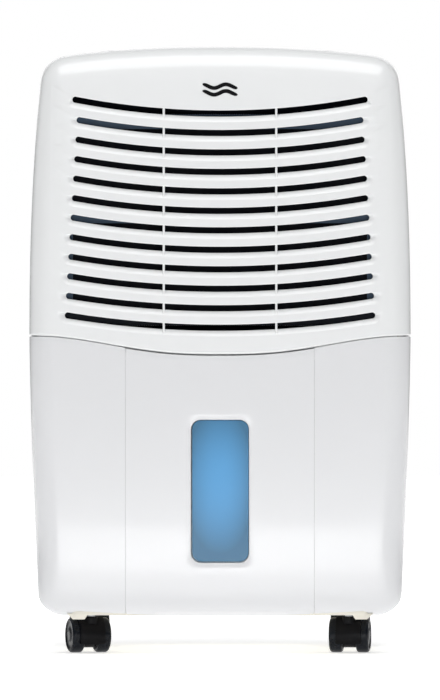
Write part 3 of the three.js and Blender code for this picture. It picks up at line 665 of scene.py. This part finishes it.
# near black, the wheels' own colour, with a navy cast that is a painted sheen
TREAD = plastic("wheel plastic", (0.003, 0.005, 0.009), 0.28, specular=0.2, **NYLON)
FLOAT_ORANGE = plastic("orange float", (0.70, 0.20, 0.04), 0.45, drift=0.1, grain=0.3)
MARK = plastic("printed mark", (0.004, 0.004, 0.005), 0.6, drift=0.1, grain=0.1, specular=0.1)
# nearly black with little gloss: painted shade behind the slots
SHADE_BLACK_DUCT = plastic("duct painted as shade", (0.003, 0.004, 0.008), 0.6, drift=0.3, grain=0.3, specular=0.08)
ENAMEL = dict(drift=0.3, gloss_drift=0.2, grain=0.4, coat=0.3)
BLACK_STEEL = plastic("black enamel", (0.014, 0.015, 0.017), 0.3, **ENAMEL)
COPPER = metal("drawn copper", (0.72, 0.34, 0.19), 0.3)
STEEL = metal("plated steel", (0.55, 0.56, 0.58), 0.32)
TINTED = window_material()
MILKY = tub_material()
MESH = filter_material()
FINS = fins_material()
BOARD = board_material()


# ------------------------------------------------------------------ upper cover

DUCT_BARS = [(-168, 168, 551.6, 576), (-168, 168, 322.5, 335.4), (-170, -165.8, 322.5, 576),
             (165.8, 170, 322.5, 576)]  # x from and to, z from and to

EDGE_STEPS = np.array([0.0, 0.12, 0.4, 0.8, 1.3])  # distances from an edge that is rolled over
EDGE_ROLL = 1.2


def slot_middle(index, x):
    """The centre line of a slot: a parabola that rises towards the sides, less in each lower slot."""
    return SLOT_TOP - SLOT_PITCH * index + (SMILE - SMILE_STEP * index) * (x / 150) ** 2


def cell_line(index):
    """The line between the cells of slots index - 1 and index, from left to right."""
    reach = TOP_SLOT_HALF - SLOT_HIGH if index == 0 else SLOT_HALF - SLOT_HIGH - 0.6 + SLOT_GROWTH * index
    ends = np.linspace(BLOCK_HALF, reach, 7)[:-1]
    x = np.concatenate([-ends, np.linspace(-reach, reach, 57), ends[::-1]])
    return np.stack([x, slot_middle(index - 0.5, x)], -1)


def cell_side(index, count=9):
    """The right side of a slot's cell, upwards."""
    low, high = cell_line(index + 1)[-1], cell_line(index)[-1]
    return line(low, high, count)


def slot_ring(index):
    """One louvre cell, from its block of face to its opening, in rows from outside to inside.
    Offsets of a stadium carry the lip: at a share k of its width the lip lies k * width from the
    opening and (1 - k)^1.15 * depth behind the face. The lip is wide below and narrow above."""
    half = SLOT_HALF + SLOT_GROWTH * index if index else TOP_SLOT_HALF
    straight = half - SLOT_HIGH
    side = cell_side(index)
    outer = np.concatenate([
        cell_line(index + 1)[:-1], side[:-1], cell_line(index)[::-1][:-1], (side * (-1, 1))[::-1][:-1],
    ])
    columns = np.linspace(-1, 1, 57)
    turn = np.linspace(-90, 90, 21)
    end = np.full(19, straight)
    middle_x = np.concatenate([columns * straight, end, columns[::-1] * straight, -end])
    angle = np.radians(np.concatenate([np.full(57, -90), turn[1:-1], np.full(57, 90), 180 + turn[1:-1]]))
    outer = np.roll(outer, -6, axis=0)
    direction = np.stack([np.cos(angle), np.sin(angle)], -1)
    narrow = smooth(direction[:, 1], 0.05, 0.9) if index else smooth(direction[:, 1], -0.75, -0.1)
    lip = LIP_BELOW + (LIP_ABOVE - LIP_BELOW) * narrow
    deep = LIP_DEPTH + (0.9 - LIP_DEPTH) * narrow
    rise = slot_middle(index, middle_x)
    rows = [outer]
    depths = [np.zeros_like(lip)] * 2
    for share in (1.0, 0.92, 0.8, 0.6, 0.4, 0.2, 0.08, 0.0):
        reach = SLOT_HIGH + lip * share
        rows.append(np.stack([middle_x + direction[:, 0] * reach, rise + direction[:, 1] * reach], -1))
        depths.append(deep * (1 - share) ** 1.15)
    rows.insert(1, rows[0] * 0.5 + rows[1] * 0.5)
    rows += [rows[-1], rows[-1]]
    depths += [deep + 1.2, np.full_like(deep, 6.4)]
    points = []
    for flat, depth in zip(rows, depths):
        point = on_face(flat[:, 0], flat[:, 1])
        point[:, 1] += depth
        points.append(point)
    return np.array(points)


def corner_curve(start, end, count=24):
    """The front silhouette through the upper right corner, as an angle runs from start to end."""
    angle = np.radians(np.clip(np.linspace(start, end, count), 0.001, 89.999))
    x = np.full_like(angle, HALF_WIDTH - 20)
    for _ in range(30):  # x and z each depend on the other, and settle quickly
        z = crown(x) - CORNER_TOP + CORNER_TOP * np.sin(angle) ** (2 / CORNER_POWER)
        x = half_width(z) - CORNER_X + CORNER_X * np.cos(angle) ** (2 / CORNER_POWER)
    return np.stack([x, z], -1)


def upper_side():
    """The silhouette's right side from the seam up to the middle of the corner."""
    start = seam(HALF_WIDTH) + SEAM_GAP
    bend = corner_curve(0, 45)
    z = np.linspace(start, bend[0, 1], 60)
    return np.concatenate([np.stack([half_width(z), z], -1)[:-1], bend])


def face_edge(outline):
    """Where the front's rounding ends on the silhouette."""
    x, z = outline[:, 0], outline[:, 1]
    return np.stack([x, face_plane(x, z) + round_depth(z), z], -1)


def upper_cover():
    """The louvre cells as one block, its surround out to the silhouette, and the band behind that."""
    shape = Shape()
    for index in range(SLOTS):
        shape.add(slot_ring(index), closed=True)
    # the strip between the last slot's cell and the seam
    x, high = cell_line(SLOTS).T
    low = seam(x) + SEAM_GAP
    shares = np.r_[EDGE_STEPS, np.linspace(2.4, 18, 6)]
    rows = []
    for step in shares:
        rows.append(on_face(x, low + (high - low) * step / 18))
    shape.add(np.array(rows))
    # the right side, its mirror image and the top, out to the silhouette
    edge_rows = [(low + (high - low) * step / 18)[-1] for step in shares]
    cells = []
    for index in range(SLOTS - 1, -1, -1):
        cells.append(cell_side(index)[:-1, 1])
    inner_z = np.concatenate([edge_rows[:-1], *cells, [cell_line(0)[-1, 1]]])
    inner = np.stack([np.full_like(inner_z, BLOCK_HALF), inner_z], -1)
    side = upper_side()
    share = (inner_z - inner_z[0]) / (inner_z[-1] - inner_z[0])
    step = np.r_[0, np.cumsum(np.linalg.norm(np.diff(side, axis=0), axis=1))]
    outer = np.stack([np.interp(share * step[-1], step, side[:, k]) for k in (0, 1)], -1)
    # near the seam the rows stay level, so that its rolled edge keeps its width
    level = inner_z < inner_z[0] + 6
    outer[level, 1] = seam(HALF_WIDTH) + SEAM_GAP + (inner_z[level] - inner_z[0])
    outer[level, 0] = half_width(outer[level, 1])
    for mirror in (1, -1):
        shape.add(fan_rows(inner, outer, mirror), flip=mirror < 0)
    top_inner = cell_line(0)[::-1]
    half_top = corner_curve(45, 90)
    crown_x = np.linspace(half_top[-1, 0], -half_top[-1, 0], 60)
    across = np.stack([crown_x, crown(crown_x)], -1)
    over = np.concatenate([half_top[:-1], across, (half_top * (-1, 1))[::-1][1:]])
    top_outer = resample(over, len(top_inner))
    shape.add(fan_rows(top_inner, top_outer, 1))
    # backwards along the sides and over the top to the split
    loop = np.concatenate([outer, top_outer[1:-1], (outer * (-1, 1))[::-1]])
    front = face_edge(loop)
    shape.add(band(front, SPLIT - 0.3))
    return shape


def fan_rows(inner, outer, mirror):
    """Rows from the silhouette to the louvre block, bunched by a sine where the edge rounds over."""
    rows = []
    for t in np.linspace(1, 0, 15):
        flat = inner + (outer - inner) * math.sin(t * math.pi / 2)
        x, z = flat[:, 0], flat[:, 1]
        point = on_face(x, z) if t < 1 else face_edge(flat)
        point[:, 0] *= mirror
        rows.append(point)
    return np.array(rows)


def band(front, back_y):
    """From the rounded front edge back to the split: straight lines along Y, bunched at the split."""
    rows = []
    for step in EDGE_STEPS:
        rows.append(np.stack([front[:, 0], np.full(len(front), back_y - step), front[:, 2]], -1))
    start = rows[-1].copy()
    for t in np.linspace(0, 1, 8)[1:]:
        rows.append(start * (1 - t) + front * t)
    return np.array(rows)


def cover_edge(point):
    """Distance from the cover's nearest free edge, the seam below or the split behind."""
    below = point[:, 2] - seam(point[:, 0]) - SEAM_GAP
    behind = SPLIT - 0.3 - point[:, 1]
    return np.minimum(below, behind)


def air_duct():
    """The frame that holds the filter: four flat bars round it, seen past its edges, coloured nearly black as
    painted shade behind the slots.
    """
    shape = Shape()
    for x0, x1, z0, z1 in DUCT_BARS:
        outline = rounded_rect(x0, x1, z0, z1, 1.0, 2)
        sections = [np.insert(outline, 1, y, axis=1) for y in (-120.4, -119.2)]
        shape.loft(np.array(sections))
    return shape


def seam_tongue():
    """The lap behind the seam: a strip along it, set back behind the bucket and less behind the
    cheeks, so that no light passes through the joint."""
    x = np.linspace(-181, 181, 121)
    back = 2.9 + 3.9 * smooth(-np.abs(x), -101, -98)
    sections = []
    for lift, deep in ((-3.5, 0.0), (3.5, 0.0), (3.5, 1.2), (-3.5, 1.2)):
        z = seam(x) + lift
        sections.append(np.column_stack([x, face_y(x, seam(x)) + back + deep, z]))
    return Shape().loft(np.array(sections).transpose(1, 0, 2))


def make_upper_cover():
    cover = build("upper_cover", upper_cover(), WHITE, "housing", ["front_cover"])
    sink_edges(cover, cover_edge, EDGE_ROLL)
    thicken(cover, WALL)
    settle(cover)
    recess = rounded_rect(-112.6, 112.6, -104.6, -53.4, 8.6)
    carve(cover, prism(recess, 600, 640, "xy"))
    # the ledge that the panel sits on, a ring with its walls up to the cover
    outside = rounded_rect(-116, 116, -108, -50, 11)
    inside = rounded_rect(-106, 106, -98, -60, 6)
    rise = rounded_rect(-112.7, 112.7, -104.7, -53.3, 8.7)
    sections = [(inside, 606.6), (outside, 606.6), (outside, 616.4), (rise, 616.4), (rise, 610.2),
                (inside, 610.2), (inside, 606.6)]
    rows = [np.column_stack([flat, np.full(len(flat), z)]) for flat, z in sections]
    shape = Shape().add(np.array(rows), closed=True)
    ledge = build("panel_ledge", shape, WHITE, "housing", outward=True)
    ledge.data.set_sharp_from_angle(angle=0.6)


def rib(side):
    """A louvre rib: a narrow rounded bar that follows the face a little behind it."""
    z = np.linspace(327, 566, 40)
    sections = []
    for height in z:
        front = float(face_y(np.array(side * RIB_X), np.array(height)))
        middle = side * RIB_X
        outline = rounded_rect(middle - RIB_HALF, middle + RIB_HALF, front + 0.9, front + 6.0, 0.7, 3)
        sections.append(np.column_stack([outline, np.full(len(outline), height)]))
    return Shape().loft(np.array(sections))


# ------------------------------------------------------------------ lower housing and bucket front

def mapped(a, b, start, low_edge):
    """A cheek's face by the disc mapping: a runs from the bay to the silhouette and b from the seam
    to the bottom, negative over the flat and a sine through the rounded band. In the corner
    x = r a sqrt(1 - b^2 / 2) and z = r b sqrt(1 - a^2 / 2)."""
    a, b = np.meshgrid(a, b)
    pa, pb = np.maximum(a, 0), np.maximum(b, 0)
    z = np.full_like(a, 150.0)
    bottom = low_edge + CORNER_BOTTOM
    for _ in range(12):  # x and z each depend on the other, and settle quickly
        flat_x = half_width(z) - CORNER_X
        rounded = flat_x + CORNER_X * pa * np.sqrt(1 - pb**2 / 2)
        x = np.where(a < 0, start + (1 + a) * (flat_x - start), rounded)
        top = seam(x) - SEAM_GAP
        rounded = bottom - CORNER_BOTTOM * pb * np.sqrt(1 - pa**2 / 2)
        z = np.where(b < 0, top + (1 + b) * (bottom - top), rounded)
    y = face_plane(x, z) + round_depth(z) * roll(1 - (1 - pa**2) * (1 - pb**2))
    return np.stack([x, y, z], -1)


def edge_then_even(length, count):
    """Shares of a length that start with the rolled edge's steps, then go on evenly."""
    return np.r_[EDGE_STEPS / length, np.linspace(EDGE_STEPS[-1] / length, 1, count)[1:]]


def cheeks():
    """Both cheeks: the mapped face and the band behind its silhouette, and the same mirrored."""
    shape = Shape()
    bands = np.sin(np.linspace(0, math.pi / 2, 13))[1:]
    a = np.r_[edge_then_even(60, 12) - 1, bands]
    b = np.r_[edge_then_even(250, 34) - 1, np.sin(np.linspace(0, math.pi / 2, 11))[1:]]
    face = mapped(a, b, BAY_HALF, BOTTOM)
    side = face[:, -1]
    under = face[-1, ::-1]
    keep = under[:, 0] > 157.6
    loop = np.concatenate([side, under[keep][1:]])
    for mirror in (1, -1):
        flip = (mirror, 1, 1)
        shape.add(face * flip, flip=mirror > 0)
        shape.add(band(loop, SPLIT - 0.3) * flip, flip=mirror > 0)
    return shape


def cheek_edge(point):
    """Distance from a cheek's nearest free edge. Beside the bucket it grows faster and starts above
    nothing, so that edge is rolled over only slightly."""
    top = seam(point[:, 0]) - SEAM_GAP - point[:, 2]
    inner = (np.abs(point[:, 0]) - BAY_HALF) * SIDE_SHARPNESS + SIDE_START
    behind = SPLIT - 0.3 - point[:, 1]
    return np.minimum(np.minimum(top, inner), behind)


def bay_liner():
    """The bucket's bay: one wall that runs back, across and forward again, lower at the front."""
    wide = BAY_HALF + 0.2
    bend = rounded_rect(-wide, wide, -400, 24, 6.0, 6)[7:21]
    path = np.concatenate([[[wide, -130.0], [wide, -112.0]], bend, [[-wide, -112.0], [-wide, -130.0]]])
    top = np.where(path[:, 1] < -111, 262.0, 300.0)
    rows = [np.column_stack([path, 47 + (top - 47) * t]) for t in np.linspace(0, 1, 5)]
    return Shape().add(np.array(rows))


def make_lower_housing():
    housing = build("lower_cheeks", cheeks(), SHADED_WHITE, "housing", ["lower_housing"])
    sink_edges(housing, cheek_edge, EDGE_ROLL)
    thicken(housing, WALL)
    settle(housing)
    liner = build("bucket_bay", bay_liner(), WHITE, "housing")
    thicken(liner, -2.4)
    settle(liner)


def bucket_outline(counts):
    """The bucket front: straight sides, small lower corners and a top edge that follows the seam."""
    bottom = line((-FACE_HALF, FACE_BOTTOM), (FACE_HALF, FACE_BOTTOM), counts[0])
    u = np.linspace(FACE_HALF, -FACE_HALF, counts[2])
    top = np.stack([u, seam(u) - 1.0], -1)
    right = line((FACE_HALF, FACE_BOTTOM), top[0], counts[1])
    left = line(top[-1], (-FACE_HALF, FACE_BOTTOM), counts[3])
    return np.concatenate([bottom[:-1], right[:-1], top[:-1], left[:-1]])


def bucket_face():
    """Rows from the bucket front's outline in to the window's, closer together at both edges."""
    counts = (49, 65, 49, 65)
    outer = bucket_outline(counts)
    # ease the two lower corners in
    low = FACE_BOTTOM + 2.5
    corner = np.clip((low - outer[:, 1]) / 2.5, 0, 1)
    outer[:, 0] *= 1 - 0.012 * corner * (np.abs(outer[:, 0]) > FACE_HALF - 2)
    w = WINDOW
    inner = four_sides(rounded_rect(-w["half"], w["half"], w["bottom"], w["top"], w["corner"], 12), counts)
    distance = np.linalg.norm(outer - inner, axis=1)
    shares = []
    for step in EDGE_STEPS:
        shares.append(step / distance)
    for t in np.linspace(0, 1, 12)[1:-1]:
        shares.append(shares[4] + (1 - 2 * shares[4]) * t)
    for step in EDGE_STEPS[::-1]:
        shares.append(1 - step / distance)
    rows = []
    for share in shares:
        flat = outer + (inner - outer) * share[:, None]
        rows.append(on_face(flat[:, 0], flat[:, 1], FACE_BOTTOM))
    return np.array(rows)


def rect_distance(x, z):
    """Distance outside the window's rounded rectangle."""
    w = WINDOW
    dx = np.abs(x) - (w["half"] - w["corner"])
    middle = (w["bottom"] + w["top"]) / 2
    dz = np.abs(z - middle) - ((w["top"] - w["bottom"]) / 2 - w["corner"])
    outside = np.hypot(np.maximum(dx, 0), np.maximum(dz, 0))
    return outside + np.minimum(np.maximum(dx, dz), 0) - w["corner"]


def bucket_face_edge(point):
    """Distance from the bucket front's nearest edge, measured at the sides as for a cheek."""
    x, z = point[:, 0], point[:, 2]
    side = (FACE_HALF - np.abs(x)) * SIDE_SHARPNESS + SIDE_START
    around = np.minimum(side, np.minimum(z - FACE_BOTTOM, seam(x) - 1.0 - z))
    return np.minimum(around, rect_distance(x, z) * 0.65)


def window_lens():
    """Shrinking copies of the window's outline, each laid on the face a little behind it."""
    w = WINDOW
    left, right = -w["half"] + 1.2, w["half"] - 0.3
    loop = rounded_rect(left, right, w["bottom"] + 1.2, w["top"] - 0.25, w["corner"] - 0.5, 12)
    middle = np.array([0, (w["bottom"] + w["top"]) / 2])
    reach = np.abs(loop - middle)
    rows = []
    for inset in np.r_[EDGE_STEPS, 3, 7, 12, 18, 24, 28.8]:
        shrunk = middle + (loop - middle) * (1 - inset / reach.max(axis=0))
        rows.append(on_face(shrunk[:, 0], shrunk[:, 1]) + (0, 0.7, 0))
    shape = Shape().add(np.array(rows), closed=True)
    return shape.cap(rows[-1])


def make_bucket():
    shape = Shape().add(bucket_face(), closed=True)
    face = build("bucket_face", shape, SHADED_WHITE, "bucket", ["bucket_front"])
    sink_edges(face, bucket_face_edge, EDGE_ROLL)
    thicken(face, 4.2)
    settle(face)
    lens = build("level_window", window_lens(), TINTED, "bucket", ["window_lens"])
    sink_edges(lens, lambda point: -rect_distance(point[:, 0], point[:, 2]) - 0.25, 0.8)
    thicken(lens, 2.6)
    settle(lens)
    softened("bucket_tub_moulding", "bucket_tub", MILKY, "bucket", 0.9, 3)
    softened("bail", "bucket_handle", WHITE, "bucket_bail", 1.4, 3)
    softened("float_moulding", "float_paddle", FLOAT_ORANGE, "float", 1.0, 3)


# ------------------------------------------------------------------ rear shell

POCKETS = [(70, 280, 21, 120), (-120, 110, 17, 128)]  # x, z, half width and floor of each recess


def rear_shell():
    """The band from the split to the back, and a back face inside the same silhouette."""
    bend = corner_curve(0, 90, 22)
    z = np.linspace(BOTTOM + CORNER_BOTTOM, bend[0, 1], 60)
    low_angle = np.radians(np.linspace(-90, 0, 14))
    low_z = BOTTOM + CORNER_BOTTOM + CORNER_BOTTOM * np.sin(low_angle)
    low = np.stack([half_width(low_z) - CORNER_X + CORNER_X * np.cos(low_angle), low_z], -1)
    crown_x = np.linspace(bend[-1, 0], 0, 24)
    side = np.stack([half_width(z), z], -1)
    over = np.stack([crown_x, crown(crown_x)], -1)
    under = line((20, BOTTOM), low[0], 10)
    right = np.concatenate([[[0, BOTTOM]], under[:-1], low[:-1], side[:-1], bend[:-1], over])
    loop = np.concatenate([right, (right * (-1, 1))[::-1][1:-1]])
    rows = []
    for turn in np.sin(np.linspace(0, 1, 12) * math.pi / 2):
        ring = loop_inset(loop, BACK_ROUND * turn)
        y = HALF_DEPTH - BACK_ROUND + BACK_ROUND * math.sqrt(max(0.0, 1 - (1 - turn) ** 2))
        rows.append(np.stack([ring[:, 0], np.full(len(ring), y), ring[:, 1]], -1))
    base = rows[0]
    ahead = []
    for step in EDGE_STEPS:
        ahead.append(np.stack([base[:, 0], np.full(len(base), SPLIT + 0.3 + step), base[:, 2]], -1))
    for t in np.linspace(0, 1, 9)[1:-1]:
        ahead.append(ahead[4] * (1 - t) + base * t)
    shape = Shape().add(np.array(ahead + rows), closed=True, flip=True)
    return shape.cap(rows[-1], flip=True)


def loop_inset(loop, amount):
    """A loop moved in by an amount along its own normals."""
    ahead = np.roll(loop, -1, axis=0)
    behind = np.roll(loop, 1, axis=0)
    along = ahead - behind
    along /= np.linalg.norm(along, axis=1)[:, None]
    normal = np.stack([along[:, 1], -along[:, 0]], -1)
    return loop - normal * amount


def make_rear_shell():
    """The shell with its grille opening, hand grips and the recesses of the drain and the cord."""
    shell = build("rear_shell", rear_shell(), WHITE, "housing", ["rear_cover"])
    sink_edges(shell, lambda point: point[:, 1] - SPLIT - 0.3, EDGE_ROLL)
    thicken(shell, WALL)
    settle(shell)
    opening = rounded_rect(-118.6, 118.6, 337.4, 574.6, 12.4)
    seat = rounded_rect(-124, 124, 332, 580, 16)
    carve(shell, prism(seat, 131.5, 138.6), "UNION")
    carve(shell, prism(opening, 135.4, 150))
    carve(shell, prism(rounded_rect(-111, 111, 345, 567, 6), 120, 150))
    for side in (-1, 1):
        outer = rounded_rect(27.4, 112.6, 465.4, 504.6, 11)
        inner = rounded_rect(30, 110, 468, 502, 8.6)
        carve(shell, prism(outer, *sorted((side * 171.6, side * 189.0)), "yz"), "UNION")
        carve(shell, prism(inner, *sorted((side * 174.3, side * 210.0)), "yz"))
    for x, z, half, floor in POCKETS:
        around = half + 2.4
        wall = rounded_rect(x - around, x + around, z - around, z + around, 8)
        carve(shell, prism(wall, floor - 2.6, 138.5), "UNION")
        carve(shell, prism(rounded_rect(x - half, x + half, z - half, z + half, 6), floor, 160))
    carve(shell, prism(rounded_rect(60.5, 79.5, 270.5, 289.5, 9.4), 110, 125))
    carve(shell, prism(rounded_rect(-128, -112, 102, 118, 7.9), 120, 132))
    carve(shell, box_shape(-157.4, 157.4, -20, 131.4, 20, 48))


# ------------------------------------------------------------------ casters

def lathe_x(profile, x0, y, z, turn, sides=56):
    """A profile of (radius, distance) pairs turned about an axis that lies level at an angle."""
    angle = np.linspace(0, 2 * math.pi, sides, endpoint=False)
    axis = np.array([math.cos(turn), math.sin(turn), 0])
    across = np.array([-math.sin(turn), math.cos(turn), 0])
    upward = np.array([0.0, 0.0, 1.0])
    rows = []
    for radius, along in profile:
        spoke = np.cos(angle)[:, None] * across + np.sin(angle)[:, None] * upward
        rows.append(np.array([x0, y, z]) + axis * along + spoke * radius)
    return np.array(rows)


WHEEL_PROFILE = [
    (3.5, 18.6), (3.5, 7.2), (6.5, 7.0), (7.0, 7.4), (7.5, 8.4), (13.5, 8.4), (14.2, 7.6), (15.2, 7.1),
    (16.6, 7.4), (17.6, 8.4), (18.0, 10.0), (18.0, 17.3), (17.7, 18.7), (16.9, 19.8), (15.8, 20.4),
    (14.9, 20.5), (14.3, 20.1), (13.9, 19.5), (13.2, 19.2), (8.0, 19.5), (6.6, 19.8), (6.0, 20.3),
    (5.2, 20.5), (2.0, 20.5), (0.4, 20.5),
]


def make_wheel(name, node, body, x, y, turn, side):
    profile = [(radius, side * along) for radius, along in WHEEL_PROFILE]
    rows = lathe_x(profile, x, y, 18.0, turn)
    shape = Shape().add(rows, closed=True)
    shape.cap(rows[-1])
    shape.cap(rows[0])
    wheel = build(name, shape, TREAD, body, [node], outward=True)
    wheel.data.set_sharp_from_angle(angle=math.radians(50))


def make_casters():
    for joint in frame["joints"]:
        if not joint["name"].endswith("_roll"):
            continue
        body = joint["child"]
        node = body.removesuffix("_body")
        x, y, _ = (value / MM for value in joint["pos_m"])
        turn = math.atan2(joint["axis"][1], joint["axis"][0])
        side = -1 if node.endswith("left_wheel") else 1
        make_wheel(f"{node}_moulding", node, body, x, y, turn, side)
    for place in ("front_left", "front_right", "rear_left", "rear_right"):
        body = f"{place}_caster"
        softened(f"{place}_hood_moulding", f"{place}_hood", BLACK, body, 0.8, 3)
        paint(STEEL, f"{place}_stem", f"{place}_axle")


# ------------------------------------------------------------------ top panel, rear trim, insides

def paint(material, *nodes):
    for node in nodes:
        mesh = frame["nodes"][node].data
        mesh.materials.clear()
        mesh.materials.append(material)


def wave_mark():
    """Two waves drawn out, one under the other: a sine carried across, with a stroke as wide at
    every point square to the curve, raised a little from the face."""
    shape = Shape()
    t = np.linspace(-1, 1, 73)
    for level, reach in ((579.4, 18.0), (572.6, 18.0)):
        x = reach * t
        z = level + 1.9 * np.sin(1.5 * math.pi * t)
        slope = np.gradient(z, x)
        normal = np.stack([-slope, np.ones_like(slope)], -1) / np.sqrt(1 + slope**2)[:, None]
        half = 1.9 * np.sqrt(np.clip(1 - t**8, 0, 1)) + 0.05
        sections = []
        for side, lift in ((-1, 0.3), (-1, -0.25), (-0.7, -0.45), (0.7, -0.45), (1, -0.25), (1, 0.3)):
            px = x + normal[:, 0] * half * side
            pz = z + normal[:, 1] * half * side
            sections.append(np.column_stack([px, face_y(px, pz) + lift, pz]))
        shape.loft(np.array(sections).transpose(1, 0, 2))
    return shape


def make_trim():
    softened("outlet_grille_moulding", "outlet_grille", WHITE, "housing", 0.7, 2)
    softened("control_fascia", "control_panel", SMOKE, "housing", 0.5, 2)
    softened("display_cover", "display_lens", SMOKE, "housing", 0.5, 2)
    softened("base_tray", "base_pan", CREAM, "housing", 0.8, 2)
    softened("drain_cap", "drain_plug", BLACK, "plug", 0.9, 3)
    softened("cord_bush", "cord_gland", BLACK, "housing", 0.6, 2)
    build("wave_mark", wave_mark(), MARK, "housing", ["badge"], outward=True)
    for name in ("power", "fan_speed", "humidity_down", "humidity_up", "timer"):
        softened(f"{name}_cap", f"{name}_button", BUTTON, name, 0.7, 3)
    paint(MESH, "filter")
    paint(FINS, "evaporator", "condenser")
    paint(GREY, "drip_tray", "fan_shroud", "drain_spout")
    paint(BLACK, "fan", "float_sensor")
    paint(STEEL, "fan_motor", "motor_bracket", "run_capacitor")
    paint(COPPER, "accumulator", "suction_pipe", "discharge_pipe")
    paint(BLACK_STEEL, "compressor")
    paint(BOARD, "control_board")


# ------------------------------------------------------------------ studio

ROOM_FRONT, ROOM_SIDE = 0.16, 0.12  # how strongly the room lights the object
VIEW_HEIGHT = 0.7127  # metres across the picture's long side, at the object's front
FLOOR_HALF = 9


def area_light(name, place, aim, size, power, spread=180):
    data = bpy.data.lights.new(name, "AREA")
    data.shape = "RECTANGLE"
    data.size, data.size_y = size
    data.energy = power
    data.spread = math.radians(spread)
    light = link(name, data)
    light.location = place
    light.rotation_euler = (Vector(aim) - Vector(place)).to_track_quat("-Z", "Y").to_euler()


def white_room():
    """White all round to look at. The light it gives is a little weaker, and weaker still from the
    two sides, so that the rounded flanks of a white object stay readable."""
    world = bpy.data.worlds.new("white room")
    world.use_nodes = True
    tree = world.node_tree
    backdrop = tree.nodes["Background"]
    direction = tree.nodes.new("ShaderNodeTexCoord").outputs["Generated"]
    sideways = math_node(tree, "POWER", magnitude(tree, part(tree, direction, "X")), 2.0)
    glow = remap(tree, sideways, 0.0, 1.0, ROOM_FRONT, ROOM_SIDE)
    seen = tree.nodes.new("ShaderNodeLightPath").outputs["Is Camera Ray"]
    strength = plus(tree, times(tree, seen, minus(tree, 1.0, glow)), glow)
    wire(tree, strength, backdrop.inputs["Strength"])
    backdrop.inputs["Color"].default_value = (1, 1, 1, 1)
    return world


def studio():
    """A pale floor that glows by emission, less near the object and more away from it, and so lights the
    object from below; the lights and the camera.
    """
    mesh = bpy.data.meshes.new("studio_floor")
    corners = [(x * FLOOR_HALF, y * FLOOR_HALF, 0) for x, y in ((-1, -1), (1, -1), (1, 1), (-1, 1))]
    mesh.from_pydata(corners, [], [(0, 1, 2, 3)])
    material, tree, surface = shader("pale floor")
    place = object_place(tree)
    tone = mix_colour(tree, noise(tree, place, 2.0), (0.87, 0.87, 0.87), (0.89, 0.89, 0.89))
    wire(tree, tone, surface.inputs["Base Color"])
    surface.inputs["Roughness"].default_value = 0.8
    length = tree.nodes.new("ShaderNodeVectorMath")
    length.operation = "LENGTH"
    wire(tree, place, length.inputs[0])
    # painted light: the floor's glow, 0.52 near the object rising to 1.0 further away
    lift = remap(tree, length.outputs["Value"], 0.1, 1.6, 0.52, 1.0)
    wire(tree, mix_colour(tree, lift, (0, 0, 0), (1, 1, 1)), surface.inputs["Emission Color"])
    surface.inputs["Emission Strength"].default_value = 1.0
    mesh.materials.append(material)
    floor = link("studio_floor", mesh)

    bpy.context.scene.world = white_room()
    area_light("overhead", (0, -0.75, 2.0), (0, -0.3, 0.1), (2.4, 1.6), 33.0)
    area_light("foot fill", (0, -1.2, 0.04), (0, -0.14, 0.0), (1.3, 0.06), 0.34, spread=70)
    area_light("behind", (0, 2.4, 1.3), (0, 0, 0.3), (2.4, 1.4), 9)
    for side in (-1, 1):
        area_light("flank", (side * 2.2, 1.3, 1.1), (0, 0.1, 0.3), (1.4, 1.4), 2.0)

    data = bpy.data.cameras.new("camera")
    camera = link("camera", data)
    distance, height = 8.0, 0.34
    aim = Vector((0, -0.14, 0.3107))
    camera.location = (0, aim.y - distance, height)
    camera.rotation_euler = (aim - camera.location).to_track_quat("-Z", "Y").to_euler()
    data.sensor_width = 36.0
    data.lens = data.sensor_width * distance / VIEW_HEIGHT
    bpy.context.scene.camera = camera
    bpy.context.scene.view_settings.view_transform = "Standard"


make_upper_cover()
for side, label in ((-1, "left"), (1, "right")):
    build(f"louvre_rib_{label}", rib(side), WHITE, "housing", outward=True)
build("filter_rails", air_duct(), SHADE_BLACK_DUCT, "housing", outward=True)
build("seam_tongue", seam_tongue(), WHITE, "housing", outward=True)
make_lower_housing()
make_bucket()
make_rear_shell()
make_casters()
make_trim()
studio()
